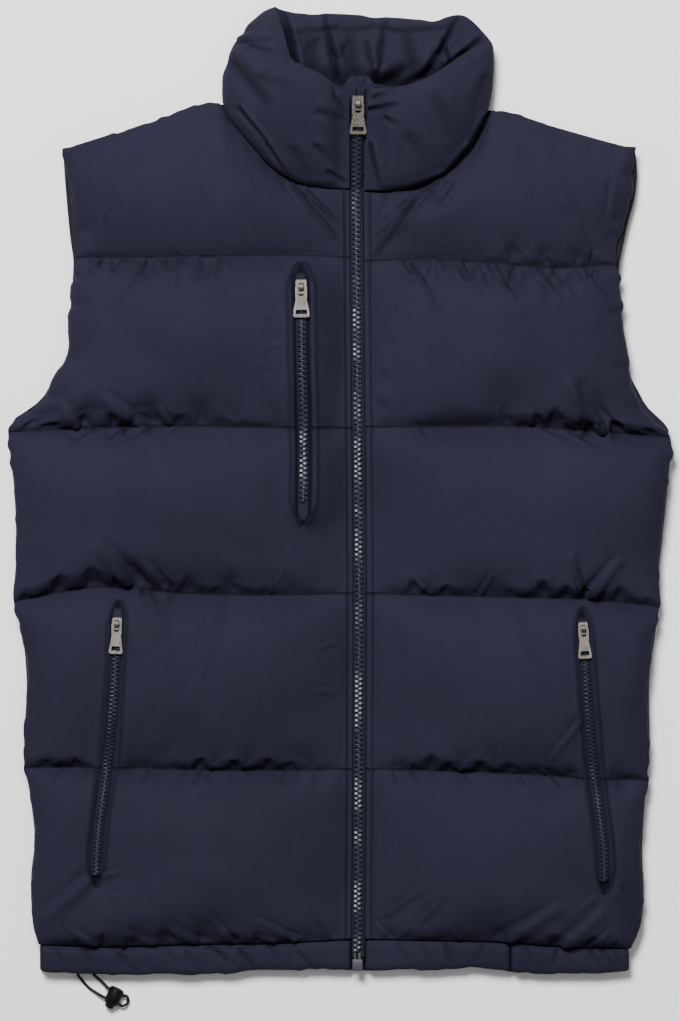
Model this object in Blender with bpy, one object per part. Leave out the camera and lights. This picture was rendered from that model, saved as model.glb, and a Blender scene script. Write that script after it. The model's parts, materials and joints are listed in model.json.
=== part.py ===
"""A sleeveless padded vest with a stand collar, laid flat on a surface with its front up.

Frame: X across the vest (+X is the wearer's left), Y up the vest towards the collar,
Z up from the surface. Every table below is in millimetres; the meshes are in metres.
"""

import math

import bmesh
import bpy
import numpy as np
from mathutils import Vector
from mathutils.geometry import tessellate_polygon

MM = 0.001

# ---------------------------------------------------------------- driving sizes
SEAM_GAP = 0.3            # left between two pieces that touch
BACK_TOP = 16.0           # height of the back's plain inner face
FRONT_FLOOR = BACK_TOP + SEAM_GAP
SEAM_HEIGHT = 21.5        # top of a front where a quilt line pinches it
EDGE_INSET = 4.0          # how far a padded edge pulls in at its foot
ARMPIT_Y = 66.0           # the armhole's facing ends here
PLACKET = 5.5             # flat strip between the zip opening and the padding
ZIP_SIDE = {"right": 5.5, "left": 6.4}     # opening's edge to the middle of the chain
HAND = {"right": -1, "left": 1}            # sign of X on the wearer's right and left
POCKET_FLOOR_HALF = 6.5   # flat floor of a pocket zip's trough, each side of the zip
POCKET_LIP_HALF = 9.5     # where the trough's lip is
COLLAR_SEAM_WALL = 5.0    # thickness of the collar where it is sewn on
COLLAR_RISE = 0.285       # slope of the collar's front, height over length
NECK_Y = 259.0            # neck seam at the zip
ARMHOLE_TOP_CLEAR = 5.0   # the facing starts this far below the shoulder's tip
FACING_THICK = 0.9
FACING_CLEAR = 1.4        # from the front's foot to the facing, and the facing's least width
FACING_INSET = 2.8        # from the back's edge to the facing
STORM_FLAP_HALF = 14.5
STORM_FLAP_THICK = 1.6
STORM_FLAP_UNDER_ZIP = 2.6
STORM_FLAP_Y = (272.0, 355.0)        # from its hidden lower end to its top
STORM_FLAP_ROUND = 10.0              # length over which its top is rounded
HEM_BACK_TOP = 11.5
HEM_FRONT_FLOOR = HEM_BACK_TOP + SEAM_GAP

# ---------------------------------------------------------------- outline of the body
# y: height up the vest; front: half width of the front; back: half width of the back
SIDE_RIGHT = (
    # y, front, back
    (294, 237, 239),
    (268, 231, 236),
    (234, 226, 233),
    (208, 223, 231),
    (190, 226, 230),
    (150, 231, 232),
    (113, 235, 236),
    (96, 245, 247),
    (83, 251, 254),
    (72, 262, 266),
    (65, 274, 278),
    (57, 283, 284),
    (44, 284.7, 284.7),
    (10, 280.5, 280.5),
    (-60, 278.5, 278.5),
    (-92, 281, 281),
    (-128, 272, 272),
    (-160, 269, 269),
    (-238, 271, 271),
    (-265, 266, 266),
    (-300, 262, 262),
    (-330, 265, 265),
    (-372, 263.5, 263.5),
    (-390, 259, 259),
)
SIDE_LEFT = (
    # y, front, back
    (295, 251, 255),
    (272, 249.5, 255),
    (250, 247, 252),
    (233, 242, 247.5),
    (216, 237.5, 244),
    (197, 235.5, 241.5),
    (182, 238, 240),
    (150, 240.5, 241.5),
    (113, 245, 246.5),
    (98, 248, 249.5),
    (87, 250, 256),
    (79, 253, 260),
    (70, 258.5, 267),
    (63, 267, 275),
    (55, 279, 283),
    (46, 284, 284.5),
    (10, 282, 282),
    (-45, 276, 276),
    (-75, 273.5, 273.5),
    (-97, 275, 275),
    (-128, 270, 270),
    (-150, 266.5, 266.5),
    (-247, 265, 265),
    (-283, 260.5, 260.5),
    (-310, 259, 259),
    (-350, 260.5, 260.5),
    (-372, 258.5, 258.5),
    (-393, 249, 249),
)
SIDES = {"right": SIDE_RIGHT, "left": SIDE_LEFT}

# neck seam and shoulder line of each front, from the zip outwards
TOP_RIGHT = (
    # x, y
    (-10, 260),
    (-26, 262),
    (-43, 266),
    (-52, 271),
    (-69, 288),
    (-86, 309),
    (-98, 324),
    (-101, 333),
    (-117, 334),
    (-138, 327),
    (-163, 317.5),
    (-209, 302.5),
    (-230, 297),
    (-237, 294),
)
TOP_LEFT = (
    # x, y
    (52, 257.5),
    (69, 261),
    (86, 269.5),
    (101.5, 281.5),
    (117, 299),
    (126.5, 318),
    (129, 328),
    (146, 325.5),
    (168, 319.5),
    (191, 310),
    (215, 303),
    (236, 297),
    (251, 295),
)
TOPS = {"right": TOP_RIGHT, "left": TOP_LEFT}
NECK_POINT = {"right": -101.0, "left": 129.0}

# rounded edge of the back
BACK_LEVELS = (
    # height, pulled in, pulled in further at the side's end of a quilt line
    (0.0, 4.5, 0.0),
    (3.0, 1.2, 1.4),
    (8.0, 0.0, 2.2),
    (13.5, 0.8, 1.4),
    (BACK_TOP, 2.4, 0.0),
)
SEAM_NOTCH_REACH = 6.0
BACK_SIDE_X = 200.0       # the back's sides are further out than this
BACK_SIDE_LOW_Y = -380.0

# height of each quilt line at the zip, at each quarter of the way out, and at the side
SEAMS_RIGHT = (
    # zip, quarter, half, three quarters, side
    (202, 203.5, 203, 202, 201.5),
    (55, 55.5, 56.5, 55, 51.5),
    (-87, -88.5, -87, -82, -94),
    (-238, -239, -238.5, -236, -237),
    (-384.5, -388, -389, -391, -389),
)
SEAMS_LEFT = (
    # zip, quarter, half, three quarters, side
    (199, 200, 197.5, 193, 195.5),
    (56, 56, 56.5, 52.5, 47),
    (-87, -89, -90.5, -92.5, -98.5),
    (-238, -239.5, -241.5, -245, -247.5),
    (-384.5, -385.5, -387, -391, -392.5),
)
SEAMS = {"right": SEAMS_RIGHT, "left": SEAMS_LEFT}
CHANNEL_CROWNS = (36.0, 40.0, 42.0, 42.0, 38.5)      # top of each padded channel
CHANNEL_STEPS = (0.0, 0.035, 0.11, 0.25, 0.42, 0.6, 0.77, 0.89, 0.965)

# middle of the main zip
ZIP_LINE = (
    # y, x
    (349, 16.4),
    (332, 15.5),
    (300, 14.4),
    (259, 13.8),
    (200, 14.2),
    (79, 15.2),
    (-59, 16.5),
    (-238, 16.2),
    (-350, 15.5),
    (-415, 15.0),
)

# pocket zips: the line of the zip and the height of the trough that it lies in
CHEST_ZIP_LINE = (
    # y, x, floor
    (196, -33.2, 26.0),
    (186, -33.4, 31.5),
    (150, -33.0, 35.0),
    (110, -32.4, 35.0),
    (75, -31.6, 31.5),
    (50, -31.2, 29.0),
    (25, -31.0, 33.0),
    (0, -31.2, 35.5),
    (-28, -31.4, 35.0),
)
HAND_ZIP_RIGHT_LINE = (
    # y, x, floor
    (-94, -190.0, 28.0),
    (-104, -190.3, 33.0),
    (-150, -192.0, 36.0),
    (-195, -195.0, 35.0),
    (-222, -197.5, 31.0),
    (-240, -200.0, 29.5),
    (-265, -203.5, 32.5),
    (-300, -207.5, 34.0),
    (-338, -209.0, 33.0),
)
HAND_ZIP_LEFT_LINE = (
    # y, x, floor
    (-100, 207.5, 28.0),
    (-109, 207.7, 32.5),
    (-150, 210.0, 36.0),
    (-195, 213.5, 35.0),
    (-228, 216.5, 31.0),
    (-248, 218.5, 29.5),
    (-272, 221.5, 32.5),
    (-305, 225.5, 34.0),
    (-344, 226.5, 33.0),
)
POCKET_LIP_RISE = 3.0     # least height of a trough's lip over its floor
FILL_STEPS = {"right": (3, 7), "left": (9, 9)}     # columns before each pocket
FILL_BEFORE_POCKETS = 8   # a front with more columns than this is past its first pocket
CREASE_STRIP = 3.0        # width of the crease beside the placket
NECK_SHARE = 0.45         # share of a front's width where its neck seam meets the shoulder
NECK_STEPS = 7
SIDE_STEPS = 4
SIDE_ROLL = (14.0, 6.0, 1.6)         # last columns before the side, measured in from it
ZIP_ROUNDING = 48.0       # a channel rises to its crown over this far from the placket
SIDE_ROUNDING = 42.0      # and over this far from the side
POCKETS = {
    "right": (CHEST_ZIP_LINE, HAND_ZIP_RIGHT_LINE),
    "left": (HAND_ZIP_LEFT_LINE,),
}

# the deepest folds of the fronts, each a soft trough from one end to the other
FOLDS_RIGHT = (
    # x0, y0, x1, y1, half width, depth
    (-39, 263, -9, 228, 9, 3.5),
    (-204, 195, -218, 184, 8, 4.0),
    (-167, 192, -178, 174, 8, 3.0),
    (-103, 196, -107, 180, 7, 3.0),
    (-184, 70, -170, 58, 9, 4.0),
    (-236, 62, -205, 64, 10, 5.0),
    (-154, 70, -146, 58, 8, 3.0),
    (-262, -340, -215, -316, 8, 3.5),
    (-150, -372, -128, -384, 8, 3.0),
    (-60, -372, -45, -384, 8, 2.5),
)
FOLDS_LEFT = (
    # x0, y0, x1, y1, half width, depth
    (77, 261, 29, 214, 9, 4.0),
    (122, 196, 142, 171, 8, 4.0),
    (170, 192, 186, 166, 8, 4.0),
    (188, 187, 199, 173, 8, 3.0),
    (209, 184, 227, 170, 8, 3.5),
    (205, 82, 213, 64, 9, 4.5),
    (225, 62, 262, 56, 10, 5.0),
    (149, -377, 186, -361, 9, 4.0),
    (198, -387, 223, -365, 8, 3.0),
    (222, -92, 212, -74, 8, 3.5),
)
FOLDS = {"right": FOLDS_RIGHT, "left": FOLDS_LEFT}

# the collar's wall, from the zip on the wearer's right round the back to the other side:
# its foot on the neck seam, its rim, its thickness and how far its middle bows outwards
COLLAR = (
    # foot x, y, z, rim x, y, z, inner pad, outer pad, bow
    (8.2, 261.0, 20.5, 8.0, 338.0, 43.0, 2.5, 2.5, 0.0),
    (0.5, 261.2, 20.5, 1.5, 343.0, 45.0, 2.5, 3.0, 1.0),
    (-12.0, 261.6, 20.6, -9.0, 351.0, 46.5, 3.0, 8.5, 2.5),
    (-34.0, 265.4, 20.8, -20.5, 358.0, 47.5, 5.0, 9.0, 4.0),
    (-57.5, 279.0, 21.0, -33.0, 363.5, 47.5, 6.0, 9.0, 5.0),
    (-78.0, 301.5, 21.0, -42.0, 371.0, 44.5, 5.5, 8.0, 7.0),
    (-92.8, 321.5, 20.5, -47.5, 391.0, 36.5, 4.5, 6.0, 10.0),
    (-96.6, 331.5, 17.5, -53.0, 410.0, 26.0, 3.5, 5.0, 11.0),
    (-96.4, 335.5, 12.0, -55.0, 418.0, 16.5, 3.5, 5.0, 10.0),
    (-91.0, 335.0, 9.0, -46.0, 414.5, 10.5, 4.5, 6.0, 5.0),
    (-56.0, 332.0, 8.6, -16.0, 411.5, 9.4, 6.5, 8.0, 0.4),
    (13.0, 331.0, 8.6, 33.0, 408.5, 9.2, 6.5, 8.0, 0.4),
    (86.0, 331.0, 8.6, 81.0, 406.0, 9.4, 6.5, 8.0, 0.4),
    (114.0, 331.0, 9.0, 107.0, 406.5, 10.0, 5.0, 6.5, 1.0),
    (123.4, 332.5, 12.0, 121.5, 397.5, 16.0, 3.5, 5.0, 2.0),
    (123.8, 326.5, 17.0, 123.0, 388.5, 25.0, 3.5, 5.0, 2.5),
    (120.2, 312.0, 20.2, 114.0, 379.5, 33.0, 4.5, 6.0, 4.0),
    (107.8, 291.5, 21.0, 98.0, 369.0, 42.5, 5.5, 8.0, 5.0),
    (89.0, 272.8, 21.0, 83.5, 358.0, 47.5, 6.0, 9.0, 5.0),
    (66.5, 263.0, 20.8, 66.0, 349.0, 48.0, 5.0, 9.0, 4.0),
    (44.0, 259.6, 20.6, 47.0, 345.0, 47.0, 3.0, 8.5, 2.5),
    (29.5, 259.4, 20.5, 33.0, 347.0, 45.5, 2.5, 3.0, 1.0),
    (20.6, 259.4, 20.5, 24.8, 348.0, 44.0, 2.5, 2.5, 0.0),
)
COLLAR_STATIONS = 67
# share of the way up the wall, and share of the pad there
COLLAR_WALL_OUT = (
    (0.0, 0.0), (0.05, 0.42), (0.16, 0.75), (0.36, 0.98), (0.6, 1.0), (0.8, 0.86), (0.93, 0.55), (1.0, 0.0),
)
COLLAR_SEAM_HALF = COLLAR_SEAM_WALL / 2
COLLAR_GATHERS = (
    # station share along the wall, half width as a share, depth of the dent inside the rim
    (0.405, 0.012, 3.0),
    (0.455, 0.014, 3.5),
    (0.52, 0.012, 3.0),
    (0.585, 0.014, 3.0),
    (0.64, 0.012, 3.5),
)

# hem bands: each from its inner end to its outer end
HEM_FRONTS = (
    # name, inner x, outer x, bottom y at the inner and at the outer end, waves
    ("hem_front_right", 9.2, -258.0, -412.0, -413.8, 5),
    ("hem_front_left", 22.0, 146.2, -411.5, -411.0, 4),
    ("hem_side_left", 147.2, 248.5, -413.6, -414.4, 3),
)
HEM_FRONT_HEIGHT = 21.0
HEM_SEAM_Y = -390.0
HEM_SEAM_GAP = 0.7
HEM_CORNER = {"right": 259.0, "left": 249.0}
HEM_BACK_BOTTOM = -415.8

# sizes of the zip slides and their pull tabs
LARGE_SLIDE = {
    "half_width": 5.0, "length": 12.5, "plate": 1.3, "arch_inner": 1.7, "arch_outer": 3.4,
    "arch_half": 1.9, "eye_half": 2.9, "eye_length": 8.2, "pull_length": 26.5,
    "pull_top_half": 5.1, "pull_end_half": 7.2, "pull_half_thick": 0.8, "chain_half": 3.85,
}
SMALL_SLIDE = {
    "half_width": 4.4, "length": 10.5, "plate": 1.2, "arch_inner": 1.6, "arch_outer": 3.1,
    "arch_half": 1.6, "eye_half": 2.5, "eye_length": 7.4, "pull_length": 26.0,
    "pull_top_half": 4.4, "pull_end_half": 6.0, "pull_half_thick": 0.75, "chain_half": 3.2,
}
SLIDES = (
    # name, y of the pull's axis, sizes
    ("main", 331.0, LARGE_SLIDE),
    ("chest", 175.0, LARGE_SLIDE),
    ("hand_right", -113.0, SMALL_SLIDE),
    ("hand_left", -117.0, SMALL_SLIDE),
)
POCKET_ZIP_NODE = {"chest": "chest_zip", "hand_right": "hand_zip_right", "hand_left": "hand_zip_left"}
SLIDER_NODE = {
    "main": "main_slider", "chest": "chest_slider",
    "hand_right": "hand_slider_right", "hand_left": "hand_slider_left",
}
PULL_NODE = {
    "main": "main_pull", "chest": "chest_pull",
    "hand_right": "hand_pull_right", "hand_left": "hand_pull_left",
}
CHAIN_HEIGHT = 3.0        # chain's top over the tape's underside
TAPE = 1.0
TAPE_TOP = 1.2            # top of the tape's bound edge, where the halves are parted
POCKET_TAPE_SHARE = 0.8   # share of a trough's floor that the zip covers
ZIP_LOW_Y = -401.5        # lower end of the main zip, above its box
CLOSED_TO_Y = 324.0       # the main zip is closed up to here, and its halves part above
TAPE_TOP_Y = 346.0
TAPE_PARTS = 0.12         # how far each half leans out, for each unit above the slider
COLLAR_TAPE_CLEAR = 0.75  # the tape is narrower up the collar
ZIP_BOX = (9.0, 10.0, 4.6)
ZIP_BOX_Y = -407.0
ZIP_BOX_LIFT = 3.2        # the box's middle over the floor of the fronts
AXIS_OVER_CHAIN = 2.8     # pull's axis over the chain's top
SLOPE_REACH = 20.0        # length of zip below a pull's axis that sets its slope
FLANGE_DROP = 1.6         # a slider's side flanges reach this far below its plate
FLANGE_LEAST = 0.25
SLIDER_NOSE = 2.0         # length of a slider's tapered ends
ARCH_STEPS = 8

# hem drawcord and its lock
CORD_RADIUS = 1.25
LOCK_FOOT = (-191.8, -428.7)         # middle of the lock's closed end
LOCK_AXIS = (-0.431, -0.902)         # from the closed end to the button
LOCK_SIDES = 20
LOCK_RADIUS = 6.5
LOCK_LENGTH = 14.8
LOCK_BORE = 4.4
LOCK_BORE_DEPTH = 10.2
BUTTON_RADIUS = 4.0
BUTTON_SHOWS = 3.6
BUTTON_INSIDE = 6.6
STRAND_ALONG = {"short": 3.2, "long": 11.9}
LONG_STRAND = (
    # x, y, z
    (-226.5, -416.6, 5.6),
    (-225.2, -418.8, 4.4),
    (-222.6, -422.6, 2.4),
    (-219.4, -426.4, 1.6),
    (-215.6, -429.8, 1.8),
    (-211.2, -432.4, 3.2),
    (-207.0, -434.6, 5.2),
)
SHORT_STRAND = (
    # x, y, z
    (-212.9, -416.6, 5.6),
    (-210.2, -419.2, 4.4),
    (-206.6, -422.4, 3.8),
    (-203.2, -425.4, 4.8),
)
LOOP_RADIUS = 5.0
LOOP_CENTRE_OUT = 8.0

COLOURS = {
    "shell": (0.022, 0.025, 0.048, 1.0),
    "facing": (0.010, 0.012, 0.017, 1.0),
    "chain": (0.014, 0.018, 0.040, 1.0),
    "metal": (0.32, 0.30, 0.28, 1.0),
    "box": (0.16, 0.16, 0.18, 1.0),
    "black": (0.006, 0.006, 0.007, 1.0),
}


# ---------------------------------------------------------------- helpers
def clear_scene():
    for item in list(bpy.data.objects):
        bpy.data.objects.remove(item, do_unlink=True)


def finish_material(name, colour, roughness=0.6, metallic=0.0):
    """A plain finish in the piece's own colour."""
    material = bpy.data.materials.new(name)
    material.use_nodes = True
    shader = material.node_tree.nodes["Principled BSDF"]
    shader.inputs["Base Color"].default_value = COLOURS[colour]
    shader.inputs["Roughness"].default_value = roughness
    shader.inputs["Metallic"].default_value = metallic
    return material


def add_piece(name, verts, faces, colour, roughness=0.6, metallic=0.0, smooth_angle=40.0, origin=None):
    """One closed solid from points in millimetres; origin is where its object sits."""
    points = np.asarray(verts, dtype=float)
    centre = np.zeros(3) if origin is None else np.asarray(origin, dtype=float)
    mesh = bpy.data.meshes.new(name)
    mesh.from_pydata([tuple(p) for p in (points - centre) * MM], [], faces)
    body = bmesh.new()
    body.from_mesh(mesh)
    bmesh.ops.triangulate(body, faces=body.faces[:])
    bmesh.ops.recalc_face_normals(body, faces=body.faces[:])
    if body.calc_volume(signed=True) < 0:
        bmesh.ops.reverse_faces(body, faces=body.faces[:])
    body.to_mesh(mesh)
    body.free()
    mesh.materials.append(finish_material(name, colour, roughness, metallic))
    mesh.shade_smooth()
    mesh.set_sharp_from_angle(angle=math.radians(smooth_angle))
    piece = bpy.data.objects.new(name, mesh)
    piece.location = Vector(centre * MM)
    bpy.context.collection.objects.link(piece)
    return piece


def along(table, value, column=1):
    """Column of a table at a value of its first column, straight between rows."""
    rows = sorted(table)
    return np.interp(value, [r[0] for r in rows], [r[column] for r in rows])


def smooth_rows(table, count):
    """Rows spread evenly through a table on a smooth curve through its rows."""
    rows = np.asarray(table, dtype=float)
    ends = np.vstack([2 * rows[0] - rows[1], rows, 2 * rows[-1] - rows[-2]])
    place = np.linspace(0, len(rows) - 1, count)
    first = np.minimum(place.astype(int), len(rows) - 2)
    f = (place - first)[:, None]
    a, b, c, d = (ends[first + k] for k in range(4))
    return 0.5 * (2 * b + (c - a) * f + (2 * a - 5 * b + 4 * c - d) * f**2 + (3 * b - a - 3 * c + d) * f**3)


def ring_faces(rings, size):
    """Faces of a tube of rings with flat ends, each ring having size points."""
    faces = []
    for r in range(rings - 1):
        for k in range(size):
            n = (k + 1) % size
            faces.append((r * size + k, r * size + n, (r + 1) * size + n, (r + 1) * size + k))
    faces.append(tuple(reversed(range(size))))
    faces.append(tuple((rings - 1) * size + k for k in range(size)))
    return faces


def flat_faces(points, start):
    """Triangles that fill a flat outline whose points start at a given index."""
    loop = [Vector((p[0], p[1], 0.0)) for p in points]
    return [tuple(start + k for k in tri) for tri in tessellate_polygon([loop])]


def inset(points, amounts):
    """A closed outline moved inwards by an amount at each point."""
    p = np.asarray(points, dtype=float)[:, :2]
    before = p - np.roll(p, 1, axis=0)
    after = np.roll(p, -1, axis=0) - p
    before /= np.linalg.norm(before, axis=1)[:, None]
    after /= np.linalg.norm(after, axis=1)[:, None]
    run = before + after
    run /= np.linalg.norm(run, axis=1)[:, None]
    normal = np.column_stack([-run[:, 1], run[:, 0]])
    area = np.sum(p[:, 0] * np.roll(p[:, 1], -1) - np.roll(p[:, 0], -1) * p[:, 1])
    return p + normal * np.sign(area) * np.asarray(amounts, dtype=float)[:, None]


# ---------------------------------------------------------------- fronts
def zip_edge(side, y):
    return along(ZIP_LINE, y) + HAND[side] * ZIP_SIDE[side]


def side_edge(side, y):
    return HAND[side] * along(SIDES[side], y, 1)


def seam_height(side, line, share):
    return np.interp(share, (0, 0.25, 0.5, 0.75, 1), SEAMS[side][line])


def column_offsets(side, y):
    """Distances out from the zip's edge of a front's columns, at one height."""
    width = abs(side_edge(side, y) - zip_edge(side, y))
    stops = [0.0, PLACKET, PLACKET + CREASE_STRIP]
    neck = NECK_SHARE * width
    for line in POCKETS[side]:
        clamped = min(max(y, line[-1][0]), line[0][0])
        middle = abs(along(line, clamped) - zip_edge(side, y))
        if neck is not None and middle > neck:
            stops += list(np.linspace(stops[-1], neck, NECK_STEPS)[1:])
            neck = None
        before = middle - POCKET_LIP_HALF
        gaps = FILL_STEPS[side][len(stops) > FILL_BEFORE_POCKETS]
        stops += list(np.linspace(stops[-1], before, gaps)[1:])
        stops += [middle - POCKET_FLOOR_HALF, middle + POCKET_FLOOR_HALF, middle + POCKET_LIP_HALF]
    stops += list(np.linspace(stops[-1], width - SIDE_ROLL[0], SIDE_STEPS)[1:])
    stops += [width - SIDE_ROLL[1], width - SIDE_ROLL[2], width]
    return np.asarray(stops), width


def pillow(share):
    """Height share across a channel: steep at both quilt lines, round in the middle."""
    return (1 - np.abs(2 * share - 1) ** 2.6) ** 0.6


def rise(distance, reach):
    """Height share from an edge inwards: a quarter of a rounded arch."""
    near = np.clip(distance / reach, 0, 1)
    return (1 - (1 - near) ** 2.2) ** 0.6


def fold_depth(side, x, y):
    """Sum of the soft troughs of the hand-placed folds at each point."""
    depth = np.zeros_like(x)
    for x0, y0, x1, y1, half, deep in FOLDS[side]:
        run = np.array([x1 - x0, y1 - y0], dtype=float)
        length = np.hypot(*run)
        run /= length
        along_fold = (x - x0) * run[0] + (y - y0) * run[1]
        across = -(x - x0) * run[1] + (y - y0) * run[0]
        beyond = np.maximum(0, np.maximum(-along_fold, along_fold - length))
        depth += deep * np.exp(-(across / half) ** 2 * 2) * np.exp(-(beyond / half) ** 2 * 2)
    return depth


def front_grid(side):
    """Grid of a front's outer points: rows down the vest, columns out from the zip."""
    sign = HAND[side]
    top_table = sorted(TOPS[side])
    top_x = [r[0] for r in top_table]
    top_y = [r[1] for r in top_table]
    start_x = zip_edge(side, NECK_Y)
    tip_x, tip_y = TOPS[side][-1]
    rows = []
    for channel, crown in enumerate(CHANNEL_CROWNS):
        steps = CHANNEL_STEPS + ((1.0,) if channel == len(CHANNEL_CROWNS) - 1 else ())
        for step in steps:
            low_mid = seam_height(side, channel, 0.5)
            if channel == 0:
                stops, width = column_offsets(side, low_mid)
                share = stops / width
                low_y = seam_height(side, 0, share)
                low_x = zip_edge(side, low_y) + sign * stops
                high_x = start_x + share * (tip_x - start_x)
                high_y = np.interp(high_x, top_x, top_y)
                x = high_x + (low_x - high_x) * step
                y = high_y + (low_y - high_y) * step
                x += (side_edge(side, y[-1]) - x[-1]) * share**8
                height_share = pillow(step)
            else:
                high_mid = seam_height(side, channel - 1, 0.5)
                stops, width = column_offsets(side, high_mid + (low_mid - high_mid) * step)
                share = stops / width
                high_y = seam_height(side, channel - 1, share)
                y = high_y + (seam_height(side, channel, share) - high_y) * step
                stretch = abs(side_edge(side, y[-1]) - zip_edge(side, y[-1])) / width
                x = zip_edge(side, y) + sign * stops * (1 + (stretch - 1) * share**8)
                height_share = pillow(step)
            out = np.clip(stops - PLACKET - 0.5, 0, None)
            rounding = rise(out, ZIP_ROUNDING) * rise(width - stops, SIDE_ROUNDING)
            z = SEAM_HEIGHT + (crown - SEAM_HEIGHT) * height_share * rounding
            z = z - fold_depth(side, x, y) * np.clip(rounding * 1.6, 0, 1) * (0.25 + 0.75 * height_share)
            z = np.maximum(z, SEAM_HEIGHT - 1.5)
            rows.append(np.column_stack([x, y, z]))
    return np.asarray(rows)


def pocket_columns(side, pocket):
    """Index of the first floor column of a pocket zip's trough."""
    stops, width = column_offsets(side, POCKETS[side][pocket][2][0])
    line = POCKETS[side][pocket]
    middle = abs(along(line, line[2][0]) - zip_edge(side, line[2][0]))
    return int(np.argmin(np.abs(stops - (middle - POCKET_FLOOR_HALF))))


def sink_pockets(side, grid):
    """Lowers the floor columns to each pocket's own line, where the zip lies."""
    spans = []
    for pocket, line in enumerate(POCKETS[side]):
        column = pocket_columns(side, pocket)
        mid_y = (grid[:, column, 1] + grid[:, column + 1, 1]) / 2
        inside = (mid_y <= line[0][0] + 1.0) & (mid_y >= line[-1][0] - 1.0)
        floor = along(line, mid_y, 2)
        for c in (column, column + 1):
            grid[inside, c, 2] = floor[inside]
        for c in (column - 1, column + 2):
            grid[inside, c, 2] = np.maximum(grid[inside, c, 2], floor[inside] + POCKET_LIP_RISE)
        spans.append((column, np.flatnonzero(inside)))
    return spans


def build_front(side):
    """Padded front: quilted outer points over a plain, flat inner face."""
    grid = front_grid(side)
    spans = sink_pockets(side, grid)
    rows, columns = grid.shape[:2]
    verts = grid.reshape(-1, 3)
    faces = []
    for r in range(rows - 1):
        for c in range(columns - 1):
            a = r * columns + c
            faces.append((a, a + 1, a + columns + 1, a + columns))
    rim = [(r, 0) for r in range(rows)]
    rim += [(rows - 1, c) for c in range(1, columns)]
    rim += [(r, columns - 1) for r in range(rows - 2, -1, -1)]
    rim += [(0, c) for c in range(columns - 2, 0, -1)]
    outline = np.array([grid[r, c] for r, c in rim])
    pulled_in = []
    for r, c in rim:
        on_side = c == columns - 1 and r < rows - 1
        on_shoulder = r == 0 and abs(grid[0, c, 0]) > abs(NECK_POINT[side]) + 1
        pulled_in.append(EDGE_INSET if on_side or on_shoulder else 0.0)
    foot = inset(outline, pulled_in)
    start = len(verts)
    verts = np.vstack([verts, np.column_stack([foot, np.full(len(foot), FRONT_FLOOR)])])
    for k, (r, c) in enumerate(rim):
        n = (k + 1) % len(rim)
        r2, c2 = rim[n]
        faces.append((r * columns + c, r2 * columns + c2, start + n, start + k))
    faces += flat_faces(foot, start)
    add_piece("front_" + side, verts, faces, "shell", 0.5)
    return grid, spans


# ---------------------------------------------------------------- back
def back_outline():
    """Outline of the back, anticlockwise from the wearer's right hem corner."""
    points = [(x, hem_line(x)) for x in np.linspace(-HEM_CORNER["right"], HEM_CORNER["left"], 21)]
    points += [(back, y) for y, _, back in reversed(SIDE_LEFT[:-1])]
    points += [(x, y) for x, y in reversed(TOP_LEFT[7:-1])]
    points += [(129.5, 326.0), (125.0, 323.5)]
    points += [(x, 326.5) for x in (112, 60, 13, -40, -86)]
    points += [(-97.0, 325.0), (-101.5, 331.0)]
    points += [(x, y) for x, y in TOP_RIGHT[8:-1]]
    points += [(-back, y) for y, _, back in SIDE_RIGHT[:-1]]
    return np.asarray(points, dtype=float)


def hem_line(x):
    """Height of the seam above the hem band at a place across the vest."""
    side = "left" if x > along(ZIP_LINE, HEM_SEAM_Y) else "right"
    start = zip_edge(side, HEM_SEAM_Y)
    share = (x - start) / (side_edge(side, HEM_SEAM_Y) - start)
    return float(seam_height(side, len(CHANNEL_CROWNS) - 1, min(max(share, 0.0), 1.0)))


def build_back():
    """Padded back: flat where it rests, plain inside, its edge rounded and drawn in at seams."""
    outline = back_outline()
    seam_ys = [row[-1] for row in SEAMS_RIGHT] + [row[-1] for row in SEAMS_LEFT]
    at_seam = []
    for x, y in outline:
        near = min(abs(y - seam_y) for seam_y in seam_ys)
        on_side = abs(x) > BACK_SIDE_X and y > BACK_SIDE_LOW_Y
        at_seam.append(near < SEAM_NOTCH_REACH and on_side)
    levels = []
    for height, pulled_in, notch in BACK_LEVELS:
        xy = inset(outline, pulled_in + notch * np.asarray(at_seam))
        levels.append(np.column_stack([xy, np.full(len(xy), height)]))
    size = len(outline)
    faces = ring_faces(len(levels), size)[:-2]
    faces += [tuple(reversed(tri)) for tri in flat_faces(levels[0], 0)]
    faces += flat_faces(levels[-1], (len(levels) - 1) * size)
    verts = np.vstack(levels)
    add_piece("back_panel", verts, faces, "shell", 0.5)


def build_facing(side, grid):
    """Dark strip inside the back's armhole edge, beside the rows of the front's own edge."""
    sign = HAND[side]
    edge = grid[:, -1]
    edge = edge[(edge[:, 1] < SIDES[side][0][0] - ARMHOLE_TOP_CLEAR) & (edge[:, 1] > ARMPIT_Y)]
    rings = []
    for x, y, _ in edge:
        inner = abs(x) - EDGE_INSET + FACING_CLEAR
        outer = max(along(SIDES[side], y, 2) - FACING_INSET, inner + FACING_CLEAR)
        top = FRONT_FLOOR + FACING_THICK
        rings.append([
            (sign * inner, y, FRONT_FLOOR), (sign * outer, y, FRONT_FLOOR),
            (sign * outer, y, top), (sign * inner, y, top),
        ])
    verts = np.asarray(rings).reshape(-1, 3)
    add_piece("armhole_facing_" + side, verts, ring_faces(len(edge), 4), "facing", 0.8)


# ---------------------------------------------------------------- collar
def collar_frame(stations):
    """Foot, rim and outward normal of the collar's wall at each station."""
    foot = stations[:, 0:3]
    rim = stations[:, 3:6]
    middle = (foot + rim) / 2
    run = np.gradient(middle, axis=0)
    up = rim - foot
    normal = np.cross(up, run)
    normal /= np.linalg.norm(normal, axis=1)[:, None]
    return foot, rim, normal


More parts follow.
